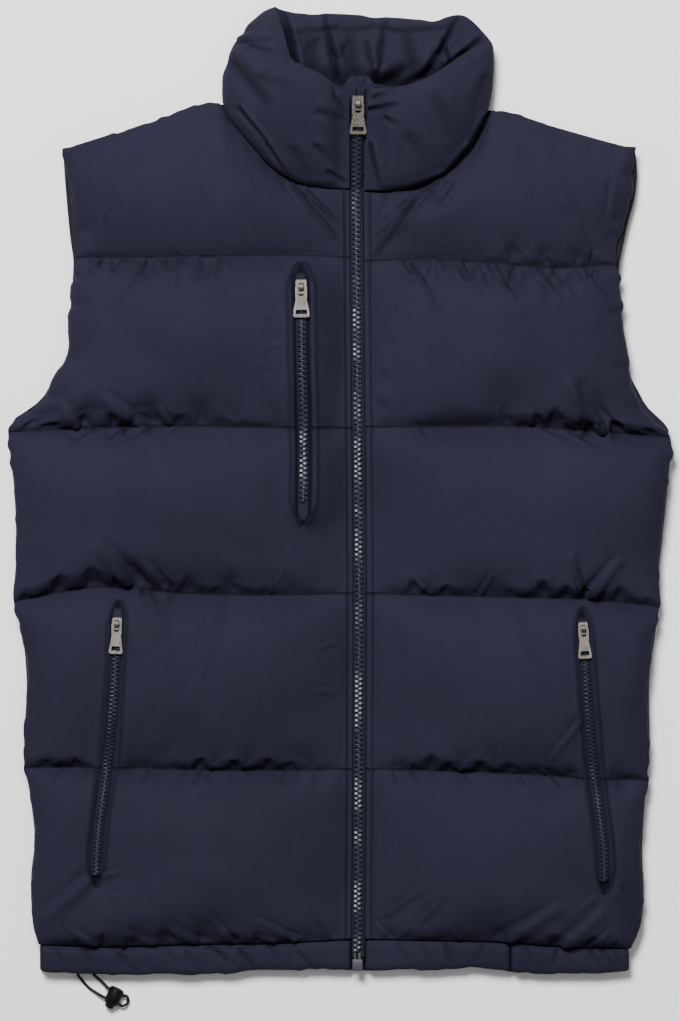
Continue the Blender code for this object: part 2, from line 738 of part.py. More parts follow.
def build_collar():
    """Padded band folded round at both sides, with its mouth open at the top."""
    stations = smooth_rows(COLLAR, COLLAR_STATIONS)
    foot, rim, normal = collar_frame(stations)
    inner_pad, outer_pad, bow = (stations[:, k][:, None] for k in (6, 7, 8))
    place = np.linspace(0, 1, len(stations))
    out_rows = []
    in_rows = []
    for share, fill in COLLAR_WALL_OUT:
        line = foot + (rim - foot) * share + normal * bow * math.sin(math.pi * share)
        thin = COLLAR_SEAM_HALF * (1 - share**3)
        dent = np.zeros(len(stations))
        for at, half, deep in COLLAR_GATHERS:
            dent += deep * np.exp(-((place - at) / half) ** 2) * math.sin(math.pi * share) ** 0.5
        outer = thin + np.maximum(outer_pad - thin, 0) * fill
        inner = thin + np.maximum(inner_pad - thin, 0) * fill - dent[:, None] * fill
        out_rows.append(line + normal * outer)
        in_rows.append(line - normal * inner)
    loops = out_rows + in_rows[-2::-1]
    size = len(loops)
    rings = np.stack(loops, axis=1)
    faces = ring_faces(len(stations), size)
    verts = rings.reshape(-1, 3)
    verts[:, 2] = np.maximum(verts[:, 2], 0.0)
    add_piece("collar", verts, faces, "shell", 0.5, smooth_angle=60.0)


def zip_lift(y):
    """Height of the main zip's tape: flat down the body, rising up the collar."""
    return FRONT_FLOOR + 1.4 + COLLAR_RISE * np.maximum(0, np.asarray(y) - NECK_Y)


def build_storm_flap():
    """Flat flap behind the zip, built where the collar's mouth shows it."""
    ys = np.linspace(*STORM_FLAP_Y, 16)
    rings = []
    for y in ys:
        past = max(0.0, 1 - (STORM_FLAP_Y[1] - y) / STORM_FLAP_ROUND)
        half = STORM_FLAP_HALF - 5.0 * past**2
        left = along(ZIP_LINE, y) - half
        right = along(ZIP_LINE, y) + half
        top = zip_lift(y) - STORM_FLAP_UNDER_ZIP - 2.0 * past**2
        low = top - STORM_FLAP_THICK
        rings.append([(left, y, low), (right, y, low), (right, y, top), (left, y, top)])
    verts = np.asarray(rings).reshape(-1, 3)
    add_piece("storm_flap", verts, ring_faces(len(ys), 4), "shell", 0.55)


# ---------------------------------------------------------------- hem
def build_hem_front(name, x0, x1, low0, low1, waves):
    """Folded band below a front, with the shallow waves of its drawn channel."""
    count = 4 * waves + 1
    rings = []
    for share in np.linspace(0, 1, count):
        x = x0 + (x1 - x0) * share
        top = hem_line(x) - HEM_SEAM_GAP
        low = low0 + (low1 - low0) * share
        wave = 1.3 * math.sin(2 * math.pi * waves * share + 0.7) * math.sin(math.pi * share)
        tall = HEM_FRONT_HEIGHT + wave
        depth = top - low
        rings.append([
            (x, top, HEM_FRONT_FLOOR), (x, top, tall - 1.2), (x, top - 2.5, tall),
            (x, top - 0.5 * depth, tall + 1.5), (x, low + 4.0, tall - 0.4),
            (x, low + 0.6, tall - 4.0), (x, low, HEM_FRONT_FLOOR + 2.0), (x, low + 1.6, HEM_FRONT_FLOOR),
        ])
    verts = np.asarray(rings).reshape(-1, 3)
    add_piece(name, verts, ring_faces(count, 8), "shell", 0.5)


def build_hem_back():
    """Band below the back, flat where it rests; its lower edge shows past the front's."""
    rings = []
    xs = np.linspace(-HEM_CORNER["right"], HEM_CORNER["left"], 26)
    for k, x in enumerate(xs):
        end = min(1.0, 12.0 * min(k, len(xs) - 1 - k) / len(xs) + 0.6)
        low = HEM_BACK_BOTTOM + 1.0 * math.sin(0.9 * k)
        top = hem_line(x) - HEM_SEAM_GAP
        rings.append([
            (x, top, 0.0), (x, top, HEM_BACK_TOP * end), (x, low + 2.2, HEM_BACK_TOP * end),
            (x, low, HEM_BACK_TOP * end - 3.0), (x, low, 3.5), (x, low + 2.5, 0.0),
        ])
    verts = np.asarray(rings).reshape(-1, 3)
    add_piece("hem_back", verts, ring_faces(len(xs), 6), "shell", 0.5)


# ---------------------------------------------------------------- zips
def build_main_zip(side):
    """Half of the main zip: tape out to the front's edge, and half of the chain."""
    sign = HAND[side]
    body_ys = np.linspace(ZIP_LOW_Y, NECK_Y, 16)
    collar_ys = np.linspace(NECK_Y, CLOSED_TO_Y, 5)[1:]
    free_ys = np.linspace(CLOSED_TO_Y + 3.0, TAPE_TOP_Y, 4)
    reach = ZIP_SIDE[side] - SEAM_GAP
    rings = []
    for y in np.concatenate([body_ys, collar_ys, free_ys]):
        x = along(ZIP_LINE, y)
        lift = float(zip_lift(y))
        past = max(0.0, y - CLOSED_TO_Y)
        inner = SEAM_GAP / 2 + TAPE_PARTS * past
        wide = reach - COLLAR_TAPE_CLEAR if y > NECK_Y - 1 else reach
        chain = LARGE_SLIDE["chain_half"]
        top = lift + (CHAIN_HEIGHT if y <= CLOSED_TO_Y else TAPE_TOP)
        rings.append([
            (x + sign * inner, y, lift), (x + sign * wide, y, lift), (x + sign * wide, y, lift + TAPE),
            (x + sign * chain, y, lift + TAPE), (x + sign * chain, y, top), (x + sign * inner, y, top),
        ])
    verts = np.asarray(rings).reshape(-1, 3)
    add_piece("main_zip_" + side, verts, ring_faces(len(rings), 6), "chain", 0.4)


def build_pocket_zip(name, grid, span, sizes, chain_top_y):
    """A pocket's zip, made from the floor points of its trough, moved out.

    The chain starts below the slider; above it the halves are parted and only tape is left.
    """
    column, rows = span
    lefts, rights = grid[rows, column], grid[rows, column + 1]
    middles = -(lefts[:, 1] + rights[:, 1]) / 2
    starts = (-chain_top_y, -chain_top_y + 0.5)
    stations = np.sort(np.concatenate([middles, starts]))
    base = np.array([0, 0, SEAM_GAP])
    rings = []
    for station in stations:
        left = np.array([np.interp(station, middles, lefts[:, k]) for k in range(3)])
        right = np.array([np.interp(station, middles, rights[:, k]) for k in range(3)])
        tape = POCKET_TAPE_SHARE * (right - left) / 2
        middle = (left + right) / 2 + base
        chain = tape * sizes["chain_half"] / (POCKET_TAPE_SHARE * POCKET_FLOOR_HALF)
        up = np.array([0, 0, 1.0])
        high = CHAIN_HEIGHT if station > starts[0] else TAPE_TOP
        rings.append([
            middle - tape, middle + tape, middle + tape + up * TAPE, middle + chain + up * TAPE,
            middle + chain + up * high, middle - chain + up * high,
            middle - chain + up * TAPE, middle - tape + up * TAPE,
        ])
    verts = np.asarray(rings).reshape(-1, 3)
    add_piece(name, verts, ring_faces(len(rings), 8), "chain", 0.4)


def build_zip_box():
    """Grey retainer box that holds the lower end of the main zip."""
    x = along(ZIP_LINE, ZIP_BOX_Y)
    body = bmesh.new()
    bmesh.ops.create_cube(body, size=1.0)
    bmesh.ops.scale(body, vec=ZIP_BOX, verts=body.verts)
    bmesh.ops.bevel(body, geom=body.edges[:], offset=0.7, segments=2, affect="EDGES", profile=0.6)
    bmesh.ops.translate(body, vec=(x, ZIP_BOX_Y, FRONT_FLOOR + ZIP_BOX_LIFT), verts=body.verts)
    verts = [tuple(v.co) for v in body.verts]
    faces = [tuple(v.index for v in f.verts) for f in body.faces]
    body.free()
    add_piece("main_zip_box", verts, faces, "box", 0.35)


def slide_frame(name, y, spans):
    """Origin on the pull's axis, and the directions across, down the zip and out."""
    if name == "main":
        origin = np.array([along(ZIP_LINE, y), y, zip_lift(y) + CHAIN_HEIGHT + AXIS_OVER_CHAIN])
        down = np.array([0.0, -1.0, -COLLAR_RISE])
    else:
        grid, (column, rows) = spans
        line = (grid[rows, column] + grid[rows, column + 1]) / 2
        order = np.argsort(line[:, 1])
        line = line[order]
        at = np.array([np.interp(y, line[:, 1], line[:, k]) for k in range(3)])
        below = np.array([np.interp(y - SLOPE_REACH, line[:, 1], line[:, k]) for k in range(3)])
        origin = at + np.array([0, 0, SEAM_GAP + CHAIN_HEIGHT + AXIS_OVER_CHAIN])
        down = below - at
    down /= np.linalg.norm(down)
    across = np.cross(down, np.array([0, 0, 1.0]))
    across /= np.linalg.norm(across)
    out = np.cross(across, down)
    return origin, across, down, out


def plate_solid(outline, holes, half_thick, place):
    """A flat plate with holes: outlines in the plate's own two directions."""
    loops = [outline] + holes
    flat = [[Vector((a, b, 0)) for a, b in loop] for loop in loops]
    tris = tessellate_polygon(flat)
    points = [p for loop in loops for p in loop]
    size = len(points)
    verts = [place(a, b, -half_thick) for a, b in points] + [place(a, b, half_thick) for a, b in points]
    faces = [tuple(t) for t in tris]
    faces += [tuple(size + k for k in reversed(t)) for t in tris]
    start = 0
    for loop in loops:
        for k in range(len(loop)):
            n = (k + 1) % len(loop)
            faces.append((start + k, start + n, size + start + n, size + start + k))
        start += len(loop)
    return verts, faces


def build_pull(name, frame, sizes):
    """Pull tab: a plate that widens to its end, an eye at the top and a slot at the end."""
    origin, across, down, out = frame
    s = sizes
    top = -s["pull_half_thick"]

    def place(a, b, c):
        return origin + across * a + down * b + out * c

    outline = [
        (-s["pull_top_half"] + 0.8, top), (s["pull_top_half"] - 0.8, top), (s["pull_top_half"], 0.4),
        (s["pull_top_half"], 8.0), (s["pull_top_half"] - 0.3, 11.0), (s["pull_end_half"] - 0.6, 20.0),
        (s["pull_end_half"], s["pull_length"] - 1.5), (s["pull_end_half"] - 1.0, s["pull_length"]),
        (-s["pull_end_half"] + 1.0, s["pull_length"]), (-s["pull_end_half"], s["pull_length"] - 1.5),
        (-s["pull_end_half"] + 0.6, 20.0), (-s["pull_top_half"] + 0.3, 11.0),
        (-s["pull_top_half"], 8.0), (-s["pull_top_half"], 0.4),
    ]
    eye = [
        (-s["eye_half"], s["pull_half_thick"]), (s["eye_half"], s["pull_half_thick"]),
        (s["eye_half"], s["eye_length"] - 2.2), (s["eye_half"] - 1.1, s["eye_length"] - 0.4),
        (0.0, s["eye_length"]), (-s["eye_half"] + 1.1, s["eye_length"] - 0.4),
        (-s["eye_half"], s["eye_length"] - 2.2),
    ]
    slot_half = s["pull_end_half"] - 2.6
    slot_top = s["pull_length"] - 6.4
    slot = [
        (-slot_half, slot_top), (slot_half, slot_top), (slot_half + 0.2, slot_top + 3.6),
        (-slot_half - 0.2, slot_top + 3.6),
    ]
    verts, faces = plate_solid(outline, [eye, slot], s["pull_half_thick"], place)
    add_piece(PULL_NODE[name], verts, faces, "metal", 0.3, 1.0, origin=origin)


def build_slider(name, frame, sizes):
    """Slider: a plate over the chain with side flanges, and the arch that holds the pull."""
    origin, across, down, out = frame
    s = sizes
    plate_low = -AXIS_OVER_CHAIN + SEAM_GAP
    plate_top = plate_low + s["plate"]
    flange_low = plate_low - FLANGE_DROP
    half_length = s["length"] / 2
    wide = s["half_width"]
    leg = s["chain_half"] + SEAM_GAP
    profile = (
        (-wide, flange_low), (-leg, flange_low), (-leg, plate_low), (leg, plate_low),
        (leg, flange_low), (wide, flange_low), (wide, plate_top - 0.4), (wide - 0.5, plate_top),
        (-wide + 0.5, plate_top), (-wide, plate_top - 0.4),
    )
    rings = []
    nose = half_length - SLIDER_NOSE
    for b, narrow in ((-half_length, 0.75), (-nose, 1.0), (nose, 1.0), (half_length, 0.92)):
        ring = []
        for a, c in profile:
            keep = max(abs(a) * narrow, leg + FLANGE_LEAST) if abs(a) > leg else abs(a)
            ring.append(origin + across * math.copysign(keep, a) + down * b + out * c)
        rings.append(ring)
    verts = [p for ring in rings for p in ring]
    body = add_piece(SLIDER_NODE[name], verts, ring_faces(len(rings), len(profile)), "metal", 0.35, 1.0)
    turns = [math.pi * k / ARCH_STEPS for k in range(ARCH_STEPS + 1)]
    arch_profile = [(math.cos(turn), math.sin(turn)) for turn in turns]
    outer = [(s["arch_outer"] * a, s["arch_outer"] * c) for a, c in arch_profile]
    inner = [(s["arch_inner"] * a, s["arch_inner"] * c) for a, c in reversed(arch_profile)]
    sink = plate_top - 0.5
    loop = [(s["arch_outer"], sink)] + outer + [(-s["arch_outer"], sink), (-s["arch_inner"], sink)]
    loop += inner + [(s["arch_inner"], sink)]

    def place(b, c, a):
        return origin + across * a + down * b + out * c

    verts, faces = plate_solid(loop, [], s["arch_half"], place)
    arch = add_piece(SLIDER_NODE[name] + "_arch", verts, faces, "metal", 0.35, 1.0)
    join = body.modifiers.new("arch", "BOOLEAN")
    join.operation = "UNION"
    join.object = arch
    join.solver = "EXACT"
    arch.hide_render = True
    arch.display_type = "WIRE"


# ---------------------------------------------------------------- drawcord
def lock_point(along_axis, across_axis, z):
    """A point of the lock from its distances along and across its axis."""
    ax, ay = LOCK_AXIS
    return (
        LOCK_FOOT[0] + ax * along_axis - ay * across_axis,
        LOCK_FOOT[1] + ay * along_axis + ax * across_axis,
        z,
    )


def build_turned(name, profile, colour, origin_along):
    """A round solid turned about the lock's axis, from pairs of distance and radius."""
    rings = []
    for distance, radius in profile:
        ring = []
        for k in range(LOCK_SIDES):
            angle = 2 * math.pi * k / LOCK_SIDES
            x, y, _ = lock_point(distance, radius * math.cos(angle), 0)
            ring.append((x, y, LOCK_RADIUS + radius * math.sin(angle)))
        rings.append(ring)
    verts = np.asarray(rings).reshape(-1, 3)
    origin = lock_point(origin_along, 0, LOCK_RADIUS)
    add_piece(name, verts, ring_faces(len(rings), LOCK_SIDES), colour, 0.4, origin=origin)


def build_cord(name, points):
    """A free stretch of cord as a tube on a smooth curve through its points."""
    route = smooth_rows(points, max(6, int(2.4 * len(points))))
    curve = bpy.data.curves.new(name, "CURVE")
    curve.dimensions = "3D"
    curve.bevel_depth = CORD_RADIUS * MM
    curve.bevel_resolution = 2
    curve.use_fill_caps = True
    spline = curve.splines.new("POLY")
    spline.points.add(len(route) - 1)
    flat = np.column_stack([route * MM, np.ones(len(route))])
    spline.points.foreach_set("co", flat.ravel())
    curve.materials.append(finish_material(name, "black", 0.7))
    cord = bpy.data.objects.new(name, curve)
    bpy.context.collection.objects.link(cord)


def build_drawcord():
    """Two strands from the hem to the lock, and the free loop on its other side."""
    reach = LOCK_RADIUS + 0.5
    long_end = lock_point(STRAND_ALONG["long"], -reach, LOCK_RADIUS)
    short_end = lock_point(STRAND_ALONG["short"], -reach, LOCK_RADIUS)
    build_cord("drawcord_strand_long", LONG_STRAND + (long_end,))
    build_cord("drawcord_strand_short", SHORT_STRAND + (short_end,))
    middle = (STRAND_ALONG["long"] + STRAND_ALONG["short"]) / 2
    loop = [lock_point(STRAND_ALONG["short"], reach, LOCK_RADIUS)]
    for degrees in range(-75, 76, 25):
        angle = math.radians(degrees)
        drop = (degrees + 90) / 90 if degrees < 0 else (90 - degrees) / 90
        z = LOCK_RADIUS - (LOCK_RADIUS - CORD_RADIUS - 0.4) * min(1.0, 0.55 * drop + 0.1)
        loop.append(lock_point(
            middle + LOOP_RADIUS * math.sin(angle), LOOP_CENTRE_OUT + LOOP_RADIUS * math.cos(angle), z
        ))
    loop.append(lock_point(STRAND_ALONG["long"], reach, LOCK_RADIUS))
    build_cord("drawcord_loop", loop)


def build_lock():
    """Cord lock: a round barrel with a blind bore, and the button that is pressed in."""
    end = LOCK_LENGTH
    barrel = (
        (0.0, LOCK_RADIUS - 1.4), (0.5, LOCK_RADIUS - 0.5), (1.6, LOCK_RADIUS), (end - 1.8, LOCK_RADIUS),
        (end - 0.6, LOCK_RADIUS - 0.5), (end, LOCK_RADIUS - 1.3), (end, LOCK_BORE),
        (end - LOCK_BORE_DEPTH, LOCK_BORE),
    )
    build_turned("cord_lock_body", barrel, "black", 0.0)
    low = end - BUTTON_INSIDE
    tip = end + BUTTON_SHOWS
    button = (
        (low, BUTTON_RADIUS), (tip - 0.9, BUTTON_RADIUS), (tip - 0.25, BUTTON_RADIUS - 0.5),
        (tip, BUTTON_RADIUS - 1.4),
    )
    build_turned("cord_lock_button", button, "black", end)


# ---------------------------------------------------------------- the whole vest
def main():
    clear_scene()
    build_back()
    fronts = {side: build_front(side) for side in HAND}
    for side in HAND:
        build_facing(side, fronts[side][0])
        build_main_zip(side)
    build_collar()
    build_storm_flap()
    for row in HEM_FRONTS:
        build_hem_front(*row)
    build_hem_back()
    build_zip_box()
    right_grid, right_spans = fronts["right"]
    left_grid, left_spans = fronts["left"]
    lines = {
        "main": None,
        "chest": (right_grid, right_spans[0]),
        "hand_right": (right_grid, right_spans[1]),
        "hand_left": (left_grid, left_spans[0]),
    }
    for name, y, sizes in SLIDES:
        if lines[name]:
            grid, span = lines[name]
            chain_top_y = y - sizes["length"] / 2 - 0.5
            build_pocket_zip(POCKET_ZIP_NODE[name], grid, span, sizes, chain_top_y)
        frame = slide_frame(name, y, lines[name])
        build_slider(name, frame, sizes)
        build_pull(name, frame, sizes)
        print(name, "axis at", np.round(frame[0], 2), "across", np.round(frame[1], 4))
    build_lock()
    build_drawcord()


main()
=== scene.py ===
# %% [markdown]
# A padded, sleeveless jacket laid out flat, dressed for its picture.
#
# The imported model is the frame: plain solids of the true size, with the joints. Here each
# solid is given its finish, or its place is taken by a finer surface. Lengths in the tables
# are millimetres, as a pattern cutter writes them, and MM turns them into Blender's metres.
# +X is the wearer's left, +Y runs from the hem to the collar, and +Z comes up off the table.

# %% Load the frame
import json
import math

import bmesh
import bpy
import numpy as np
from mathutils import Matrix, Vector


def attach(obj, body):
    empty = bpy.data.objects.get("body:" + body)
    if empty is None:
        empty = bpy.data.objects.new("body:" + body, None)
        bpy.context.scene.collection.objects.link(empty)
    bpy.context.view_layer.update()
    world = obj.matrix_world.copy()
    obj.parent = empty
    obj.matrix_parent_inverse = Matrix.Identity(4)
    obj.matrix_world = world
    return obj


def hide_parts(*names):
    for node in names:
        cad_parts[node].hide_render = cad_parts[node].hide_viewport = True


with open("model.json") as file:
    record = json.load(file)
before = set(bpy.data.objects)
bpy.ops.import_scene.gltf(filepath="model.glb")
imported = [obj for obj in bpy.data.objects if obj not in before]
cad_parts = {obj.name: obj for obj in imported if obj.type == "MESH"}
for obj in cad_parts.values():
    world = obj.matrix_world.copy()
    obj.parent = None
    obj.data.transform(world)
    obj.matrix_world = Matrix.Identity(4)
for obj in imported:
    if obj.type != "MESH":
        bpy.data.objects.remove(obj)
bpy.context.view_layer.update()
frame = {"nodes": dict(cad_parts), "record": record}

MM = 0.001
SEED = 20
nodes = frame["nodes"]

# %% [markdown]
# ## Camera, floor and light
#
# The picture was taken from straight above with a long lens, so the camera looks down from
# over three metres and the garment keeps its proportions. One picture pixel is 0.86 mm on the
# cloth, which fixes the height of the camera. A short lens from close by would frame it too,
# but it would swell the high collar. The light is a broad soft box beyond the collar and a
# weaker one overhead: it brightens whatever slopes towards the collar and leaves the lower
# slope of each padded channel dark, which is how the quilting reads. An even light from all
# round would hide the padding.

# %% Camera
PIXEL_MM = 0.86
PICTURE_HIGH_PX = 1021
PICTURE_MIDDLE_Y = -16.3         # height up the vest of the picture's middle
LENS_MM = 135.0
SENSOR_MM = 36.0
OUTLINE_Z = 18.0                 # the outline lies about this far over the table

camera_data = bpy.data.cameras.new("camera")
camera_data.lens = LENS_MM
camera_data.sensor_width = SENSOR_MM
camera_data.clip_end = 20.0
camera = bpy.data.objects.new("camera", camera_data)
camera_rise = PIXEL_MM * PICTURE_HIGH_PX * LENS_MM / SENSOR_MM + OUTLINE_Z
camera.location = (0.0, PICTURE_MIDDLE_Y * MM, camera_rise * MM)
bpy.context.collection.objects.link(camera)
bpy.context.scene.camera = camera
print("camera", round(camera_rise), "mm over the table")

# %% Floor and lights
FLOOR_HALF = 3.0
FLOOR_DROP = 0.0004              # keeps the floor just clear of the cloth that lies on it
SURROUND = 0.22                  # strength of the pale light from all round

corners = [(-1, -1), (1, -1), (1, 1), (-1, 1)]
floor_mesh = bpy.data.meshes.new("floor")
floor_mesh.from_pydata([(FLOOR_HALF * x, FLOOR_HALF * y, 0) for x, y in corners], [],
                       [(0, 1, 2, 3)])
floor = bpy.data.objects.new("floor", floor_mesh)
floor.location.z = -FLOOR_DROP
bpy.context.collection.objects.link(floor)

floor_paint = bpy.data.materials.new("pale_floor")
floor_paint.use_nodes = True
floor_shader = floor_paint.node_tree.nodes["Principled BSDF"]
floor_shader.inputs["Base Color"].default_value = (0.93, 0.93, 0.93, 1.0)
floor_shader.inputs["Roughness"].default_value = 0.9
floor_mesh.materials.append(floor_paint)


def soft_box(name, place, aim, size, watts):
    """A square area light at a place, turned towards a point, in metres."""
    light = bpy.data.lights.new(name, "AREA")
    light.size = size
    light.energy = watts
    lamp = bpy.data.objects.new(name, light)
    lamp.location = place
    lamp.rotation_euler = (Vector(aim) - Vector(place)).to_track_quat("-Z", "Y").to_euler()
    bpy.context.collection.objects.link(lamp)


soft_box("key", (-0.55, 1.42, 2.98), (0, 0, 0), 0.9, 220.0)
soft_box("fill", (0.9, 0.2, 3.4), (0, 0, 0), 1.6, 14.0)
world = bpy.data.worlds.new("studio")
bpy.context.scene.world = world
world.use_nodes = True
surround = world.node_tree.nodes["Background"]
surround.inputs["Color"].default_value = (1.0, 1.0, 1.0, 1.0)
surround.inputs["Strength"].default_value = SURROUND
print("floor, two soft boxes and a pale surround")

# %% [markdown]
# ## Cloth, plastic and metal
#
# The shell is a tight plain weave of dark blue polyester. Three things make it look like
# cloth: threads that cross over and under, a colour that drifts slightly from place to place,
# and a faint sheen at grazing angles. Photographs of cloth could be wrapped round it instead,
# but they blur close up and show their joins, where a formula has neither fault. The threads
# and the drift are node groups, because the tape, the facing and the cord use them too. A
# group hands back only a height, a mask or a colour. The shader itself stays in each material,
# where its plain numbers are set on its own sockets.
#
# The zip's teeth, its box and the cord lock are moulded plastic: even in colour, with a fine
# grain. The sliders and pulls are plated, and their plating is scratched finely with use.

# %% Node helpers


def new_group(name, inputs, outputs):
    """An empty shader node group with named inputs (type, start value) and outputs."""
    group = bpy.data.node_groups.new(name, "ShaderNodeTree")
    for title, kind, start in inputs:
        socket = group.interface.new_socket(title, in_out="INPUT", socket_type=kind)
        if start is not None:
            socket.default_value = start
    for title, kind in outputs:
        group.interface.new_socket(title, in_out="OUTPUT", socket_type=kind)
    return group, group.nodes.new("NodeGroupInput"), group.nodes.new("NodeGroupOutput")


def add(tree, kind, settings=None, **values):
    """A node of a kind, its settings, and its inputs set or linked by name, or as i0, i1, i2."""
    node = tree.nodes.new("ShaderNode" + kind)
    for key, value in (settings or {}).items():
        setattr(node, key, value)
    for key, value in values.items():
        by_number = key[0] == "i" and key[1:].isdigit()
        socket = node.inputs[int(key[1:]) if by_number else key]
        if isinstance(value, bpy.types.NodeSocket):
            tree.links.new(value, socket)
        else:
            socket.default_value = value
    return node


def math_node(tree, operation, first, second=0.0):
    """The result of one operation on two numbers or sockets."""
    return add(tree, "Math", {"operation": operation}, i0=first, i1=second).outputs[0]


# %% Group: plain weave


def make_weave_group():
    """Threads over and under: two sets of rounded ridges, taken in turn by a chequer."""
    group, given, result = new_group(
        "plain_weave",
        [("Vector", "NodeSocketVector", None), ("Threads per metre", "NodeSocketFloat", 2000.0)],
        [("Height", "NodeSocketFloat")])
    scaled = add(group, "VectorMath", {"operation": "SCALE"}, i0=given.outputs["Vector"],
                 Scale=given.outputs["Threads per metre"]).outputs[0]
    split = add(group, "SeparateXYZ", Vector=scaled)
    ridges = [math_node(group, "ABSOLUTE", math_node(group, "SINE", math_node(
        group, "MULTIPLY", split.outputs[axis], math.pi))) for axis in ("X", "Y")]
    turn = add(group, "TexChecker", Vector=scaled, Scale=1.0).outputs["Fac"]
    over = add(group, "Mix", {"data_type": "FLOAT"}, i0=turn, i2=ridges[0], i3=ridges[1]).outputs[0]
    group.links.new(over, result.inputs["Height"])
    return group


WEAVE = make_weave_group()

# %% Group: drifting tone


def make_tone_group():
    """A colour that drifts between two shades, by broad and fine noise, and the drift itself."""
    group, given, result = new_group(
        "drifting_tone",
        [("Vector", "NodeSocketVector", None), ("Shade", "NodeSocketColor", None),
         ("Light", "NodeSocketColor", None), ("Patches per metre", "NodeSocketFloat", 9.0)],
        [("Color", "NodeSocketColor"), ("Drift", "NodeSocketFloat")])
    broad = add(group, "TexNoise", Vector=given.outputs["Vector"],
                Scale=given.outputs["Patches per metre"], Detail=3.0,
                Roughness=0.55).outputs["Fac"]
    fine_scale = math_node(group, "MULTIPLY", given.outputs["Patches per metre"], 24.0)
    fine = add(group, "TexNoise", Vector=given.outputs["Vector"], Scale=fine_scale,
               Detail=2.0).outputs["Fac"]
    drift = math_node(group, "ADD", math_node(group, "MULTIPLY", broad, 0.7),
                      math_node(group, "MULTIPLY", fine, 0.3))
    spread = add(group, "MapRange", {"interpolation_type": "SMOOTHSTEP"}, Value=drift,
                 **{"From Min": 0.3, "From Max": 0.7}).outputs[0]
    mixed = add(group, "Mix", {"data_type": "RGBA"}, i0=spread, i6=given.outputs["Shade"],
                i7=given.outputs["Light"]).outputs[2]
    group.links.new(mixed, result.inputs["Color"])
    group.links.new(spread, result.inputs["Drift"])
    return group


TONE = make_tone_group()

# %% Group: fine scratches


def make_scratch_group():
    """Long thin marks: noise drawn out along one direction, kept where it peaks."""
    group, given, result = new_group(
        "fine_scratches",
        [("Vector", "NodeSocketVector", None), ("Marks per metre", "NodeSocketFloat", 900.0)],
        [("Mask", "NodeSocketFloat")])
    drawn = add(group, "Mapping", Vector=given.outputs["Vector"],
                Scale=(1.0, 0.08, 1.0)).outputs[0]
    noise = add(group, "TexNoise", Vector=drawn, Scale=given.outputs["Marks per metre"],
                Detail=4.0, Roughness=0.7).outputs["Fac"]
    mask = add(group, "MapRange", Value=noise, **{"From Min": 0.5, "From Max": 0.75}).outputs[0]
    group.links.new(mask, result.inputs["Mask"])
    return group


SCRATCHES = make_scratch_group()

# %% Starting a material


def place_group(tree, group, **values):
    """A copy of a node group in a material, with its own values."""
    node = tree.nodes.new("ShaderNodeGroup")
    node.node_tree = group
    for key, value in values.items():
        socket = node.inputs[key.replace("_", " ")]
        if isinstance(value, bpy.types.NodeSocket):
            tree.links.new(value, socket)
        else:
            socket.default_value = value
    return node


def start_material(name, roughness, metallic=0.0, **plain):
    """A material, its tree and its Principled shader, with plain numbers on the sockets."""
    material = bpy.data.materials.new(name)
    material.use_nodes = True
    tree = material.node_tree
    shader = tree.nodes["Principled BSDF"]
    shader.inputs["Roughness"].default_value = roughness
    shader.inputs["Metallic"].default_value = metallic
    for key, value in plain.items():
        shader.inputs[key.replace("_", " ")].default_value = value
    return material, tree, shader


# %% Woven finishes
# Painted shade: at the bottom of a seam or crease a colour is multiplied by this, standing for the
# shadow there.
CRACK_SHADE = (0.22, 0.22, 0.24, 1)      # what a colour is multiplied by at the bottom of a crack
ROUGHNESS_DRIFT = 0.05
WRINKLES_PER_METRE = 85.0


def woven_material(name, shade, light, roughness, threads, weave_depth, crumple=0.0, **plain):
    """Woven cloth on a piece's own UV map, which is in metres along and across the weave.

    Where a piece's painted-shade attribute is above 0 its colour is darkened: painted shade for the
    shadow in its seams and creases, which are narrower than the mesh can show. Other pieces have
    none.
    """
    material, tree, shader = start_material(name, roughness, **plain)
    flat = add(tree, "UVMap", {"uv_map": "cloth"}).outputs[0]
    solid = add(tree, "TexCoord").outputs["Object"]
    tone = place_group(tree, TONE, Vector=solid, Shade=shade, Light=light)
    # Painted shade: the piece's shade attribute darkens the colour towards CRACK_SHADE along seams
    # and creases.
    painted_crack_shade = add(tree, "Attribute", {"attribute_name": "painted_crack_shade"}).outputs["Fac"]
    colour = add(tree, "Mix", {"data_type": "RGBA", "blend_type": "MULTIPLY"}, i0=painted_crack_shade,
                 i6=tone.outputs["Color"], i7=CRACK_SHADE).outputs[2]
    tree.links.new(colour, shader.inputs["Base Color"])
    rough = add(tree, "MapRange", Value=tone.outputs["Drift"],
                **{"To Min": roughness - ROUGHNESS_DRIFT,
                   "To Max": roughness + ROUGHNESS_DRIFT}).outputs[0]
    tree.links.new(rough, shader.inputs["Roughness"])
    weave = place_group(tree, WEAVE, Vector=flat, Threads_per_metre=threads)
    threads_bump = add(tree, "Bump", Strength=0.35, Distance=weave_depth * MM,
                       Height=weave.outputs["Height"])
    last = threads_bump
    if crumple:
        wrinkle = add(tree, "TexNoise", Vector=flat, Scale=WRINKLES_PER_METRE, Detail=3.0,
                      Distortion=0.6)
        last = add(tree, "Bump", Strength=0.5, Distance=crumple * MM,
                   Height=wrinkle.outputs["Fac"], Normal=threads_bump.outputs["Normal"])
    tree.links.new(last.outputs["Normal"], shader.inputs["Normal"])
    return material


